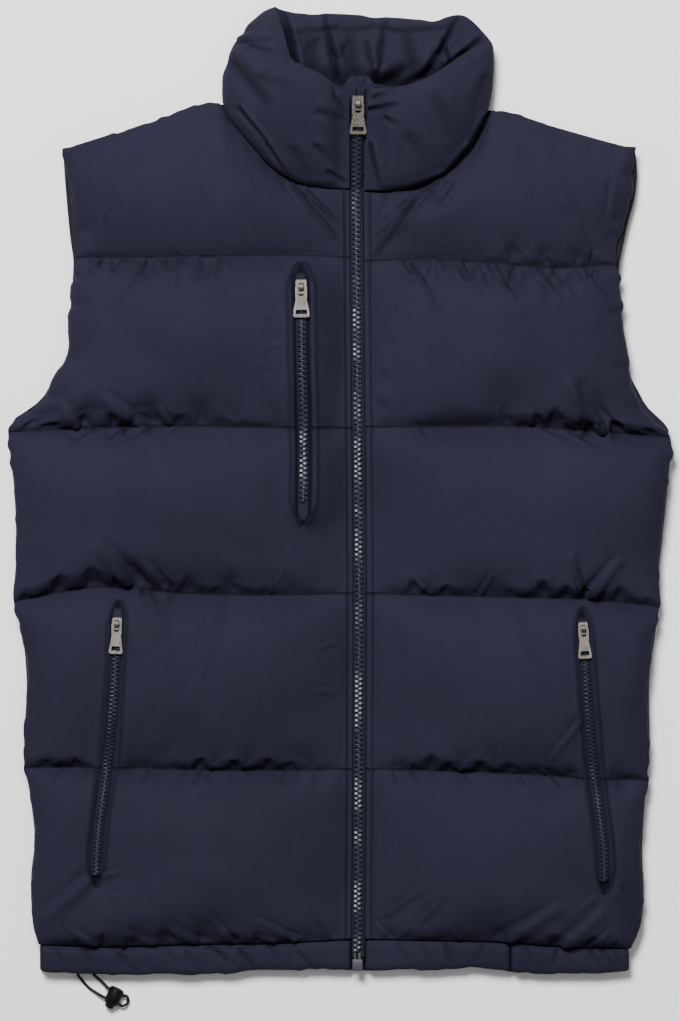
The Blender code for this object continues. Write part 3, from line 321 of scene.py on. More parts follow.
SHELL = woven_material(
    "shell_cloth", (0.0130, 0.0127, 0.0243, 1), (0.0163, 0.0159, 0.0300, 1), 0.68, 2200.0, 0.05,
    crumple=0.6, Sheen_Weight=0.015, Sheen_Roughness=0.4, Specular_IOR_Level=0.03)
FACING = woven_material(
    "facing_cloth", (0.0085, 0.0090, 0.0110, 1), (0.0140, 0.0148, 0.0180, 1), 0.78, 1500.0, 0.12,
    crumple=0.4, Specular_IOR_Level=0.1)
TAPE = woven_material(
    "zip_tape", (0.0062, 0.0064, 0.0130, 1), (0.0088, 0.0091, 0.0178, 1), 0.72, 1300.0, 0.15,
    Specular_IOR_Level=0.15)
THREAD = woven_material(
    "sewing_thread", (0.0070, 0.0070, 0.0155, 1), (0.0100, 0.0100, 0.0210, 1), 0.6, 3000.0, 0.05,
    Specular_IOR_Level=0.2)
CORD = woven_material(
    "braided_cord", (0.0020, 0.0020, 0.0024, 1), (0.0055, 0.0055, 0.0060, 1), 0.62, 900.0, 0.22,
    Specular_IOR_Level=0.2)

# %% Plastic and metal finishes


def moulded_material(name, shade, light, roughness, grain, **plain):
    """Moulded plastic: a faint drift of colour and a fine grain on its surface."""
    material, tree, shader = start_material(name, roughness, **plain)
    solid = add(tree, "TexCoord").outputs["Object"]
    tone = place_group(tree, TONE, Vector=solid, Shade=shade, Light=light,
                       Patches_per_metre=120.0)
    tree.links.new(tone.outputs["Color"], shader.inputs["Base Color"])
    speckle = add(tree, "TexNoise", Vector=solid, Scale=2500.0, Detail=2.0)
    bump = add(tree, "Bump", Strength=0.3, Distance=grain * MM, Height=speckle.outputs["Fac"])
    tree.links.new(bump.outputs["Normal"], shader.inputs["Normal"])
    return material


TEETH = moulded_material(
    "moulded_teeth", (0.0100, 0.0106, 0.0205, 1), (0.0145, 0.0152, 0.0285, 1), 0.26, 0.02,
    Specular_IOR_Level=0.17)
GREY_BOX = moulded_material(
    "grey_box", (0.036, 0.036, 0.041, 1), (0.056, 0.056, 0.062, 1), 0.40, 0.04,
    Specular_IOR_Level=0.3)
BLACK_LOCK = moulded_material(
    "black_lock", (0.0020, 0.0020, 0.0023, 1), (0.0040, 0.0040, 0.0043, 1), 0.52, 0.05,
    Specular_IOR_Level=0.10)


def plated_material():
    """Gunmetal plating: scratches show lighter and change the gloss."""
    material, tree, shader = start_material("gunmetal", 0.70, metallic=1.0)
    solid = add(tree, "TexCoord").outputs["Object"]
    marks = place_group(tree, SCRATCHES, Vector=solid, Marks_per_metre=1400.0).outputs["Mask"]
    tone = place_group(tree, TONE, Vector=solid, Shade=(0.100, 0.090, 0.081, 1),
                       Light=(0.165, 0.149, 0.135, 1), Patches_per_metre=160.0)
    worn = add(tree, "Mix", {"data_type": "RGBA"}, i0=marks, i6=tone.outputs["Color"],
               i7=(0.34, 0.31, 0.285, 1)).outputs[2]
    tree.links.new(worn, shader.inputs["Base Color"])
    rough = add(tree, "MapRange", Value=marks, **{"To Min": 0.66, "To Max": 0.74}).outputs[0]
    tree.links.new(rough, shader.inputs["Roughness"])
    bump = add(tree, "Bump", Strength=0.25, Distance=0.02 * MM, Height=marks)
    tree.links.new(bump.outputs["Normal"], shader.inputs["Normal"])
    return material


METAL = plated_material()
print("materials:", ", ".join(m.name for m in bpy.data.materials if m.users or m.use_nodes))

# %% [markdown]
# ## Turning arrays into meshes
#
# Every soft piece below is a grid of points: a shape that is a function of two parameters,
# worked out for all points at once. It could be sculpted, but a formula can be read and
# changed, and gives the same result each time. These helpers turn a grid into a mesh with a UV
# map in metres, so that the weave has its real size wherever the cloth goes. Most pieces are a
# stack of closed loops, shut at both ends, and closed_piece makes all of those.

# %% Mesh helpers


def make_piece(name, verts, faces, material, uv=None):
    """An object at the origin from points in millimetres; uv has one pair for each point."""
    mesh = bpy.data.meshes.new(name)
    mesh.from_pydata((np.asarray(verts, float) * MM).tolist(), [], [tuple(f) for f in faces])
    if uv is not None:
        layer = mesh.uv_layers.new(name="cloth")
        corner = np.zeros(len(mesh.loops), dtype=np.int32)
        mesh.loops.foreach_get("vertex_index", corner)
        places = np.asarray(uv, float)[corner] * MM
        layer.data.foreach_set("uv", places.ravel().astype(np.float32))
    mesh.materials.append(material)
    mesh.update()
    mesh.shade_smooth()
    piece = bpy.data.objects.new(name, mesh)
    bpy.context.collection.objects.link(piece)
    return piece


def grid_quads(rows, columns, closed=False):
    """Quads of a grid whose points are stored row by row; closed joins last column to first."""
    r, c = np.meshgrid(
        np.arange(rows - 1), np.arange(columns if closed else columns - 1), indexing="ij")
    here, beside = r * columns + c, r * columns + (c + 1) % columns
    return np.stack([here, beside, beside + columns, here + columns], -1).reshape(-1, 4).tolist()


def stack_faces(count, size):
    """Faces of a stack of closed loops of a size, with the first and last loop shut."""
    shut = [list(range(size))[::-1], list(range((count - 1) * size, count * size))]
    return grid_quads(count, size, closed=True) + shut


def point_out(piece):
    """Turns a closed piece's faces outwards."""
    body = bmesh.new()
    body.from_mesh(piece.data)
    bmesh.ops.recalc_face_normals(body, faces=body.faces[:])
    if body.calc_volume(signed=True) < 0:
        bmesh.ops.reverse_faces(body, faces=body.faces[:])
    body.to_mesh(piece.data)
    body.free()
    return piece


def closed_piece(name, loops, material, uv=None):
    """A closed body from a stack of closed loops; its UV map is its plan unless one is given."""
    verts = loops.reshape(-1, 3)
    faces = stack_faces(*loops.shape[:2])
    return point_out(make_piece(name, verts, faces, material, verts[:, :2] if uv is None else uv))


def dress(piece, slot, *solids, body="vest"):
    """Says which solids a piece takes the place of and the body it moves with. Its slot is not
    used.
    """
    if solids:
        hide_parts(*solids)
    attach(piece, body)
    return piece


def pairs_of(first, second):
    """A UV map from two arrays that spread over the same grid."""
    return np.stack(np.broadcast_arrays(first, second), -1).reshape(-1, 2)


def curve_at(table, value, column=1):
    """A smooth cubic through a table's rows, read at values of its first column."""
    rows = np.asarray(sorted(table), dtype=float)
    knots, heights = rows[:, 0], rows[:, column]
    slopes = np.gradient(heights, knots)
    value = np.clip(value, knots[0], knots[-1])
    i = np.clip(np.searchsorted(knots, value) - 1, 0, len(knots) - 2)
    gap = knots[i + 1] - knots[i]
    t = (value - knots[i]) / gap
    return ((2 * t**3 - 3 * t**2 + 1) * heights[i] + (t**3 - 2 * t**2 + t) * gap * slopes[i]
            + (3 * t**2 - 2 * t**3) * heights[i + 1] + (t**3 - t**2) * gap * slopes[i + 1])


def line_at(table, value):
    """Straight between a table's rows, read at values of its first column."""
    rows = np.asarray(sorted(table), dtype=float)
    return np.interp(value, rows[:, 0], rows[:, 1])


def ease(value, low, high):
    """From 0 at low to 1 at high, on a cubic with no corner at either end."""
    t = np.clip((np.asarray(value, float) - low) / (high - low), 0, 1)
    return t * t * (3 - 2 * t)


def unevenness(size, number, x, y=0.0):
    """Smooth noise from -1 to 1: random values on a lattice of a size, blended between.

    Each number gives another lattice of values, so no two uses rise and fall together.
    """
    values = np.random.default_rng(SEED + number).uniform(-1, 1, (64, 64))
    gx, gy = np.asarray(x) / size, np.asarray(y) / size
    ix, iy = np.floor(gx).astype(int), np.floor(gy).astype(int)
    fx, fy = gx - ix, gy - iy
    fx, fy = fx**3 * (6 * fx**2 - 15 * fx + 10), fy**3 * (6 * fy**2 - 15 * fy + 10)
    a, b = values[ix % 64, iy % 64], values[(ix + 1) % 64, iy % 64]
    c, d = values[ix % 64, (iy + 1) % 64], values[(ix + 1) % 64, (iy + 1) % 64]
    return (a * (1 - fx) + b * fx) * (1 - fy) + (c * (1 - fx) + d * fx) * fy


def unit(vectors):
    """The same directions with a length of 1."""
    return vectors / np.maximum(np.linalg.norm(vectors, axis=-1, keepdims=True), 1e-9)


def grid_normals(points):
    """Unit normals of a grid of points, from its two directions."""
    return unit(np.cross(np.gradient(points, axis=1), np.gradient(points, axis=0)))


def gaps_of(points):
    """Distances from each point of a path to the next."""
    return np.linalg.norm(np.diff(points, axis=0), axis=1)


def run_of(points):
    """Length of a path up to each of its points."""
    return np.r_[0, np.cumsum(gaps_of(points))]


def points_at(points, places):
    """Points at distances along a path, straight between its own points."""
    run = run_of(points)
    return np.column_stack([np.interp(places, run, points[:, k]) for k in range(3)])


def sideways(along):
    """Directions across and up, for directions along a path."""
    across = unit(np.cross(along, (0, 0, 1.0)))
    return across, np.cross(across, along)


# %% [markdown]
# ## The pattern of the vest
#
# These tables hold what a cutter would read off the garment: half widths, the neck and
# shoulder lines, the quilt lines, the zips. They could be measured off the frame's solids
# again, but a table can be read and changed. They follow those solids within a few
# millimetres, so every surface lands on the solid that it stands for.

# %% Cutting tables
HAND = {"right": -1, "left": 1}
ZIP_SIDE = {"right": 5.5, "left": 6.4}   # from the middle of the zip to the edge of each front
PLACKET = 5.5                            # from that edge to the placket's stitches
FRONT_FLOOR = 16.3                       # height of the inside of the fronts
NECK_Y = 259.0

SIDE_RIGHT = (
    # y, half width of the front, of the back
    (294, 237, 239), (268, 231, 236), (234, 226, 233), (208, 223, 231), (190, 226, 230),
    (150, 231, 232), (113, 235, 236), (96, 245, 247), (83, 251, 254), (72, 262, 266),
    (65, 274, 278), (57, 283, 284), (44, 284.7, 284.7), (10, 280.5, 280.5), (-60, 278.5, 278.5),
    (-92, 281, 281), (-128, 272, 272), (-160, 269, 269), (-238, 271, 271), (-265, 266, 266),
    (-300, 262, 262), (-330, 265, 265), (-372, 263.5, 263.5), (-392, 259, 259),
)
SIDE_LEFT = (
    # y, half width of the front, of the back
    (295, 251, 255), (272, 249.5, 255), (250, 247, 252), (233, 242, 247.5), (216, 237.5, 244),
    (197, 235.5, 241.5), (182, 238, 240), (150, 240.5, 241.5), (113, 245, 246.5), (98, 248, 249.5),
    (87, 250, 256), (79, 253, 260), (70, 258.5, 267), (63, 267, 275), (55, 279, 283),
    (46, 284, 284.5), (10, 282, 282), (-45, 276, 276), (-75, 273.5, 273.5), (-97, 275, 275),
    (-128, 270, 270), (-150, 266.5, 266.5), (-247, 265, 265), (-283, 260.5, 260.5),
    (-310, 259, 259), (-350, 260.5, 260.5), (-372, 258.5, 258.5), (-393, 249, 249),
)
SIDES = {"right": SIDE_RIGHT, "left": SIDE_LEFT}

TOP_RIGHT = (
    # x, y of the neck seam and the shoulder line
    (-10, 260), (-26, 262), (-43, 266), (-52, 271), (-69, 288), (-86, 309), (-98, 324),
    (-101, 333), (-117, 334), (-138, 327), (-163, 317.5), (-209, 302.5), (-230, 297), (-237, 294),
)
TOP_LEFT = (
    # x, y of the neck seam and the shoulder line
    (20, 257.5), (52, 257.5), (69, 261), (86, 269.5), (101.5, 281.5), (117, 299), (126.5, 318),
    (129, 328), (146, 325.5), (168, 319.5), (191, 310), (215, 303), (236, 297), (251, 295),
)
TOPS = {"right": TOP_RIGHT, "left": TOP_LEFT}
NECK_POINT = {"right": -101.0, "left": 129.0}

QUARTERS = (0, 0.25, 0.5, 0.75, 1)
SEAMS = {
    # height of each quilt line at the zip, at each quarter of the way out, and at the side
    "right": ((202, 203.5, 203, 202, 201.5), (55, 55.5, 56.5, 55, 51.5),
              (-87, -88.5, -87, -82, -94), (-238, -239, -238.5, -236, -237),
              (-384.5, -388, -389, -391, -389)),
    "left": ((199, 200, 197.5, 193, 195.5), (56, 56, 56.5, 52.5, 47),
             (-87, -89, -90.5, -92.5, -98.5), (-238, -239.5, -241.5, -245, -247.5),
             (-384.5, -385.5, -387, -391, -392.5)),
}
CROWNS = (33.0, 39.0, 40.0, 40.0, 38.0)  # height of each channel's crown, from the top
LAST = len(CROWNS) - 1

ZIP_LINE = (
    # y, x of the middle of the main zip
    (349, 16.4), (332, 15.5), (300, 14.4), (259, 13.8), (200, 14.2), (79, 15.2), (-59, 16.5),
    (-238, 16.2), (-350, 15.5), (-415, 15.0),
)
CHEST_ZIP = (
    # y, x, height of the trough's floor
    (196, -33.2, 26.0), (186, -33.4, 31.5), (150, -33.0, 35.0), (110, -32.4, 35.0),
    (75, -31.6, 31.5), (50, -31.2, 29.0), (25, -31.0, 33.0), (0, -31.2, 35.5), (-28, -31.4, 35.0),
)
HAND_ZIP_RIGHT = (
    # y, x, height of the trough's floor
    (-94, -190.0, 28.0), (-104, -190.3, 33.0), (-150, -192.0, 36.0), (-195, -195.0, 35.0),
    (-222, -197.5, 31.0), (-240, -200.0, 29.5), (-265, -203.5, 32.5), (-300, -207.5, 34.0),
    (-338, -209.0, 33.0),
)
HAND_ZIP_LEFT = (
    # y, x, height of the trough's floor
    (-100, 207.5, 28.0), (-109, 207.7, 32.5), (-150, 210.0, 36.0), (-195, 213.5, 35.0),
    (-228, 216.5, 31.0), (-248, 218.5, 29.5), (-272, 221.5, 32.5), (-305, 225.5, 34.0),
    (-344, 226.5, 33.0),
)
POCKETS = {
    # zip line, half width of the mouth, of the mouth with its lips, of the groove round them
    "right": ((CHEST_ZIP, 6.3, 9.5, 11.7), (HAND_ZIP_RIGHT, 4.2, 7.0, 8.2)),
    "left": ((HAND_ZIP_LEFT, 4.2, 7.0, 8.2),),
}


def zip_x(y):
    """Middle of the main zip at a height."""
    return curve_at(ZIP_LINE, y)


def opening_x(side, y):
    """Edge of a front beside the zip, at a height."""
    return zip_x(y) + HAND[side] * ZIP_SIDE[side]


def side_x(side, y, column=1):
    """Outer edge of a front (column 1) or of the back (column 2), at a height."""
    return HAND[side] * curve_at(SIDES[side], y, column)


def seam_y(side, line, share):
    """Height of a quilt line at a share of the way out, on a smooth curve."""
    return curve_at(list(zip(QUARTERS, SEAMS[side][line])), share)


print("pattern: body", round(float(side_x("left", 44) - side_x("right", 44))), "mm wide")

# %% [markdown]
# ## The fronts
#
# Each front is five padded channels. A channel is sewn down along its top and bottom and
# blown up between by its filling, so its section is a flattened arch, steep at both quilt
# lines. Weight pulls the filling down, so the lower edge sags over its quilt line.
#
# It could be sculpted, or blown up whole as a balloon. Neither keeps the outline and the quilt
# lines where the pattern puts them. So the surface is first worked out as a function: how far
# out from the zip, and how far down the channel. That gives the outline, the crowns and the
# pocket mouths their true places.

# %% Columns and rows of a front
ROWS_IN_CHANNEL = (26, 43, 43, 43, 43)
PLAIN_STEPS = {"right": (7, 41, 15), "left": (51, 14)}     # columns between the pockets
SIDE_ROLL = (14.0, 6.0, 1.6)     # distances in from the side of the last columns
POCKET_END = 16.0                # length over which a pocket's mouth closes at its ends
MOUTH_LEAST = 0.12               # share of its width that a mouth keeps at its very end


def pocket_widths(pocket, y):
    """Half widths of a pocket's mouth and of its lips: it closes to a point at both ends."""
    line, mouth, lip, _ = pocket
    mouth = mouth * (1 + 0.12 * unevenness(24.0, 6, y))      # its lips are not quite parallel
    to_end = np.minimum(line[0][0] + 1.0 - y, 1.7 * (y - line[-1][0] + 1.0))
    taper = MOUTH_LEAST + (1 - MOUTH_LEAST) * ease(to_end, 0.0, POCKET_END)
    inside = (y < line[0][0] + 1) & (y > line[-1][0] - 1)
    return mouth * taper, lip - mouth * (1 - taper), taper, inside


def from_pocket(pocket, x, y):
    """Distances of points from the middle line of a pocket's zip."""
    return np.abs(x - curve_at(pocket[0], y))


def column_offsets(side, y):
    """Distances out from the opening's edge, a row for each height in y.

    The columns keep to the pocket zips: even spacing between a set of knots that follow
    the placket, each pocket's lips and mouth, and the side.
    """
    width = np.abs(side_x(side, y) - opening_x(side, y))
    knots = [0 * y, 0 * y + PLACKET, 0 * y + PLACKET + 3.0]
    steps = [2, 1]
    for pocket, plain in zip(POCKETS[side], PLAIN_STEPS[side]):
        middle = from_pocket(pocket, opening_x(side, y), y)
        mouth, lip, _, inside = pocket_widths(pocket, y)
        mouth, lip = np.where(inside, mouth, pocket[1]), np.where(inside, lip, pocket[2])
        steps += [plain, 2, 4, 2]
        knots += [middle - lip, middle - mouth, middle + mouth, middle + lip]
    steps += [PLAIN_STEPS[side][-1], 2, 1, 1]
    knots += [width - SIDE_ROLL[0], width - SIDE_ROLL[1], width - SIDE_ROLL[2], width]
    parts = [low[:, None] + (high - low)[:, None] * (np.arange(count) / count)
             for low, high, count in zip(knots, knots[1:], steps)]
    return np.concatenate(parts + [width[:, None]], axis=1), width[:, None]


def channel_steps(count, last):
    """Shares down a channel, a little closer together near its quilt lines."""
    t = np.arange(count + (1 if last else 0)) / count
    return 0.25 * (0.5 - 0.5 * np.cos(math.pi * t)) + 0.75 * t


# %% Shape of a channel
SEAM_Z = 20.0             # height of a quilt line
SAG = {
    # how far the padding sags over each quilt line, in millimetres at places across the vest
    "right": (
        ((-240, 1.5), (0, 1.0)),
        ((-280, 3), (-254, 4), (-235, 8), (-214, 5), (-190, 9), (-170, 6), (-150, 7), (-120, 5),
         (-85, 3), (-40, 2), (0, 1.5)),
        ((-280, 7), (-230, 8.5), (-190, 8), (-176, 5), (-150, 6), (-110, 4.5), (-60, 4), (-20, 2.5),
         (0, 2)),
        ((-272, 5), (-235, 6), (-205, 3), (-190, 2), (-150, 4), (-110, 7), (-60, 6.5), (-25, 3),
         (0, 1.5)),
        ((-262, 4), (-235, 6), (-205, 9), (-180, 8), (-150, 8), (-120, 7), (-90, 8), (-50, 7),
         (-20, 5), (0, 1.5)),
    ),
    "left": (
        ((20, 1.0), (250, 1.5)),
        ((20, 1.5), (45, 3), (60, 7), (130, 7), (140, 4), (152, 7), (180, 8), (205, 9), (225, 6),
         (250, 8), (285, 4)),
        ((20, 2), (60, 6), (85, 6), (120, 5), (170, 7), (200, 8.5), (225, 7), (250, 5), (275, 3)),
        ((20, 2), (50, 6), (120, 7), (170, 6), (205, 5), (218, 2), (240, 4), (268, 4)),
        ((20, 2), (50, 7), (90, 8), (140, 7), (160, 10), (185, 9), (210, 8), (235, 7), (252, 3)),
    ),
}
RISE_SHARE = 0.16         # share of a channel over which it rises from its upper quilt line
EDGE_RIPPLE = 1.2         # how far a sewn edge waves in and out


def arch(share, drop, blunt):
    """Height share down a channel: a quick rise, a broad crown, and a drop at the end.

    drop is the share of the channel that the last slope takes, and blunt the height share
    that is left where it starts. Where much filling has slid down, the channel ends in a full
    roll. Where there is little, its crown sinks gently all the way to the quilt line.
    """
    quick, slow = np.clip(share / RISE_SHARE, 0, 1), np.clip(share / 0.45, 0, 1)
    rise = 0.55 * (1 - (1 - quick) ** 2.4) + 0.45 * (1 - (1 - slow) ** 2)
    sink = 1 - (1 - blunt) * ease(share, 0.40, 1.06 - 0.5 * drop)
    fall = 1 - np.clip((share - 1 + drop) / drop, 0, 1) ** 1.8
    return rise * sink * fall


def edge_rise(distance, reach):
    """Height share from an edge inwards: a quarter of a rounded arch."""
    near = np.clip(distance / reach, 0, 1)
    return (1 - (1 - near) ** 2.2) ** 0.6


def flank_rise(distance, low, quick, slow):
    """Height share from an edge inwards: a share low within quick, and the rest over slow."""
    broad = 1 - (1 - np.clip(distance / slow, 0, 1)) ** 2
    return low * edge_rise(distance, quick) + (1 - low) * broad


def front_form(side):
    """Points of a front's outer surface before it gathers, the share down each channel,
    and the distance out from the opening's edge, each as a grid."""
    sign = HAND[side]
    tops, shares, outs = [], [], []
    tip_x = TOPS[side][-1][0]
    start_x = float(opening_x(side, NECK_Y))
    for channel, crown in enumerate(CROWNS):
        step = channel_steps(ROWS_IN_CHANNEL[channel], channel == LAST)
        low_mid = float(seam_y(side, channel, 0.5))
        high_mid = low_mid if channel == 0 else float(seam_y(side, channel - 1, 0.5))
        offsets, width = column_offsets(side, high_mid + (low_mid - high_mid) * step)
        share = offsets / width
        low_y = seam_y(side, channel, share)
        v = step[:, None] + 0 * share
        if channel == 0:
            low_x = opening_x(side, low_y) + sign * offsets
            high_x = start_x + share * (tip_x - start_x)
            high_y = line_at(TOPS[side], high_x)
            high_y = high_y + EDGE_RIPPLE * unevenness(7.0, 3, high_x)
            y = high_y + (low_y - high_y) * v
            x = high_x + (low_x - high_x) * v
            edge = side_x(side, y[:, -1:])
            x = x + (edge - x[:, -1:]) * share**8
        else:
            high_y = seam_y(side, channel - 1, share)
            y = high_y + (low_y - high_y) * v
            stretch = np.abs(side_x(side, y[:, -1:]) - opening_x(side, y[:, -1:])) / width
            x = opening_x(side, y) + sign * offsets * (1 + (stretch - 1) * share**8)
        out = np.clip(offsets - PLACKET - 0.5, 0, None)
        rounding = (flank_rise(out, 0.12, 5.0, 90.0)
                    * flank_rise(width - offsets, 0.62, 12.0, 55.0))
        swell = 1 + 0.045 * unevenness(70.0, channel, x, y)
        sag = curve_at(SAG[side][channel], x)
        drop = 2.0 + 1.5 * sag
        blunt = np.minimum(0.9, (2.0 + 1.6 * sag) / (crown - SEAM_Z))
        z = SEAM_Z + (crown * swell - SEAM_Z) * rounding * arch(
            v, drop / np.maximum(np.abs(high_y - low_y), 40.0), blunt)
        y = y - 0.25 * sag * np.sin(math.pi * v**7)
        ripple = EDGE_RIPPLE * (1 + 0.6 * (y > 60)) * unevenness(8.0, 4, y)
        x = x + (ripple + 2.6 * sign * ease(y, 55.0, 75.0)) * share**30
        tops.append(np.stack([x, y, z], -1))
        shares.append(v + channel)
        outs.append(offsets)
    return np.concatenate(tops), np.concatenate(shares), np.concatenate(outs)


# %% Pocket mouths in a front
POCKET_DIP_REACH = 11.0   # how far from its lips a pocket draws the padding down
LIP_RISE = 3.1            # height of the lips over the zip's tape


def sink_pockets(side, form):
    """Dips the padding towards each pocket zip and folds its cloth into two lips."""
    x, y, z = form[..., 0], form[..., 1], form[..., 2]
    for pocket in POCKETS[side]:
        line = pocket[0]
        away = from_pocket(pocket, x, y)
        floor_z = curve_at(line, y, 2)
        mouth, lip, taper, inside = pocket_widths(pocket, y)
        ends = ease(np.minimum(line[0][0] + 9 - y, y - line[-1][0] + 9), 0.0, 14.0)
        lip_z = floor_z + LIP_RISE * (0.35 + 0.65 * taper)
        pull = np.exp(-(np.clip(away - lip, 0, None) / POCKET_DIP_REACH) ** 2) * ends
        inner = np.clip((away - mouth) / np.maximum(lip - mouth, 0.5), 0, 1)
        fold = floor_z - 0.4 + (lip_z - floor_z + 0.4) * np.sin(0.5 * math.pi * inner) ** 0.55
        z = np.where(inside & (away < lip), fold, z + (lip_z - z) * pull)
    return np.stack([x, y, z], -1)


# %% [markdown]
# ### Letting the cloth gather
#
# The shell is cut larger than the quilt lines that it is sewn to, and that spare cloth has to
# go somewhere. On the real vest it folds up into short gathers at every quilt line, deeper
# where the sewer eased in more. So the same thing is done here: the grid becomes a cloth that
# is held along its seams, is cut up to a tenth too long beside them, and is blown up a little
# from inside. In fourteen steps it finds its own gathers. Noise could take its place, but it
# looks like dents, where gathers start at the seam, lean on each other and fade out together.
#
# The solver is tuned for things of a person's size or larger, so the cloth is worked out at
# ten times its size and then brought back. Away from the seams each point is then drawn towards
# its neighbours, because the real cloth is smooth there, and padding that has slid down past a
# quilt line is held back, because the thread stops it.

# %% Gathers by cloth simulation
SPARE_CLOTH = 0.10        # how much too long the cloth is cut where it gathers most
TIGHT_CLOTH = 0.0
GATHER_BAND = 0.16        # share of a channel over which the spare cloth fades out
SOLVER_SCALE = 10.0
SETTLE_FRAMES = 14
HELD, FREE = 1.0, 0.12    # how firmly a sewn point stays where it is, and any other point
GATHERS = {
    # for each quilt line, how strongly it gathers above and below it at places across the vest
    "right": (
        (((-235, 0.3), (-20, 0.15)),
         ((-224, 0.5), (-185, 0.8), (-100, 0.8), (-85, 0.4), (-45, 0.3), (0, 0.15))),
        (((-275, 0.9), (-150, 1.0), (-120, 0.6), (-50, 0.3), (0, 0.1)),
         ((-275, 0.2), (-235, 0.45), (-180, 0.45), (-165, 0.2), (-75, 0.15), (0, 0.1))),
        (((-280, 0.9), (-150, 1.0), (-130, 0.6), (-80, 0.6), (-60, 0.4), (0, 0.3)),
         ((-280, 0.15), (0, 0.15))),
        (((-270, 0.4), (-210, 0.4), (-190, 0.2), (-150, 0.3), (-135, 0.45), (-26, 0.45), (0, 0.2)),
         ((-270, 0.35), (0, 0.35))),
        (((-262, 0.3), (-241, 0.3), (-230, 0.45), (-43, 0.4), (-20, 0.3), (0, 0.2)),
         ((-262, 0.3), (0, 0.3))),
    ),
    "left": (
        (((20, 0.2), (120, 0.3), (130, 0.6), (250, 0.6)),
         ((20, 0.15), (48, 0.2), (56, 0.9), (245, 0.85))),
        (((20, 0.1), (50, 0.1), (60, 0.2), (137, 0.35), (150, 0.85), (285, 0.85)),
         ((20, 0.1), (60, 0.2), (285, 0.25))),
        (((20, 0.25), (50, 0.3), (60, 0.9), (86, 0.9), (98, 0.5), (150, 0.5), (162, 0.9),
          (232, 0.9), (275, 0.5)), ((20, 0.15), (275, 0.15))),
        (((20, 0.2), (50, 0.3), (56, 0.5), (137, 0.5), (145, 0.4), (205, 0.4), (230, 0.3),
          (270, 0.3)), ((20, 0.35), (270, 0.35))),
        (((20, 0.2), (50, 0.4), (137, 0.4), (145, 0.55), (245, 0.55)), ((20, 0.3), (245, 0.3))),
    ),
}


def spare_cloth(side, x, y, share, width_left):
    """From 0 to 1, how much spare cloth each point of a front has: most at the seams."""
    spare = np.zeros_like(x)
    for channel in range(len(CROWNS)):
        here = (share >= channel) & (share <= channel + 1)
        v = share - channel
        above = curve_at(GATHERS[side][channel][0], x) * (1 - (1 - v) / GATHER_BAND)
        below_table = GATHERS[side][channel - 1][1] if channel else ((-300, 0.3), (300, 0.3))
        below = curve_at(below_table, x) * (1 - v / GATHER_BAND)
        spare = np.where(here, np.maximum(above, below), spare)
    armhole = 0.55 * (1 - width_left / 16.0) * ease(y, 40.0, 70.0)
    return np.clip(np.maximum(spare, armhole), 0, 1)


def settle_cloth(points, held, spare, flip):
    """The grid after it has gathered: held points stay, the rest is blown out from inside."""
    rows, columns = points.shape[:2]
    quads = np.array(grid_quads(rows, columns))
    mesh = bpy.data.meshes.new("settling")
    scale = MM * SOLVER_SCALE
    mesh.from_pydata((points.reshape(-1, 3) * scale).tolist(), [],
                     (quads[:, ::-1] if flip else quads).tolist())
    cloth_object = bpy.data.objects.new("settling", mesh)
    bpy.context.collection.objects.link(cloth_object)
    sewn = cloth_object.vertex_groups.new(name="sewn")
    sewn.add(np.nonzero(~held.ravel())[0].tolist(), FREE, "REPLACE")
    sewn.add(np.nonzero(held.ravel())[0].tolist(), HELD, "REPLACE")
    tight = cloth_object.vertex_groups.new(name="tight")
    level = np.round(10 * (1 - spare.ravel())).astype(int)
    for tenth in range(1, 11):
        tight.add(np.nonzero(level == tenth)[0].tolist(), tenth / 10, "REPLACE")
    solver = cloth_object.modifiers.new("settling", "CLOTH")
    cloth = solver.settings
    cloth.quality = 5
    cloth.mass = 0.02
    cloth.air_damping = 1.0
    cloth.tension_stiffness = cloth.compression_stiffness = 15.0
    cloth.shear_stiffness = 6.0
    cloth.bending_stiffness = 16.0
    cloth.tension_damping = cloth.compression_damping = cloth.shear_damping = 5.0
    cloth.bending_damping = 0.5
    cloth.vertex_group_mass = "sewn"
    cloth.vertex_group_shrink = "tight"
    cloth.shrink_min, cloth.shrink_max = -SPARE_CLOTH, TIGHT_CLOTH
    cloth.use_pressure = True
    cloth.uniform_pressure_force = 1.0
    cloth.effector_weights.gravity = 0.0
    solver.collision_settings.use_collision = False
    solver.collision_settings.use_self_collision = False
    solver.point_cache.frame_start, solver.point_cache.frame_end = 1, SETTLE_FRAMES
    for frame_number in range(1, SETTLE_FRAMES + 1):
        bpy.context.scene.frame_set(frame_number)
    settled = cloth_object.evaluated_get(bpy.context.evaluated_depsgraph_get()).data
    places = np.zeros(rows * columns * 3, dtype=np.float32)
    settled.vertices.foreach_get("co", places)
    bpy.context.scene.frame_set(1)
    bpy.data.objects.remove(cloth_object)
    bpy.data.meshes.remove(mesh)
    return places.reshape(rows, columns, 3).astype(float) / scale
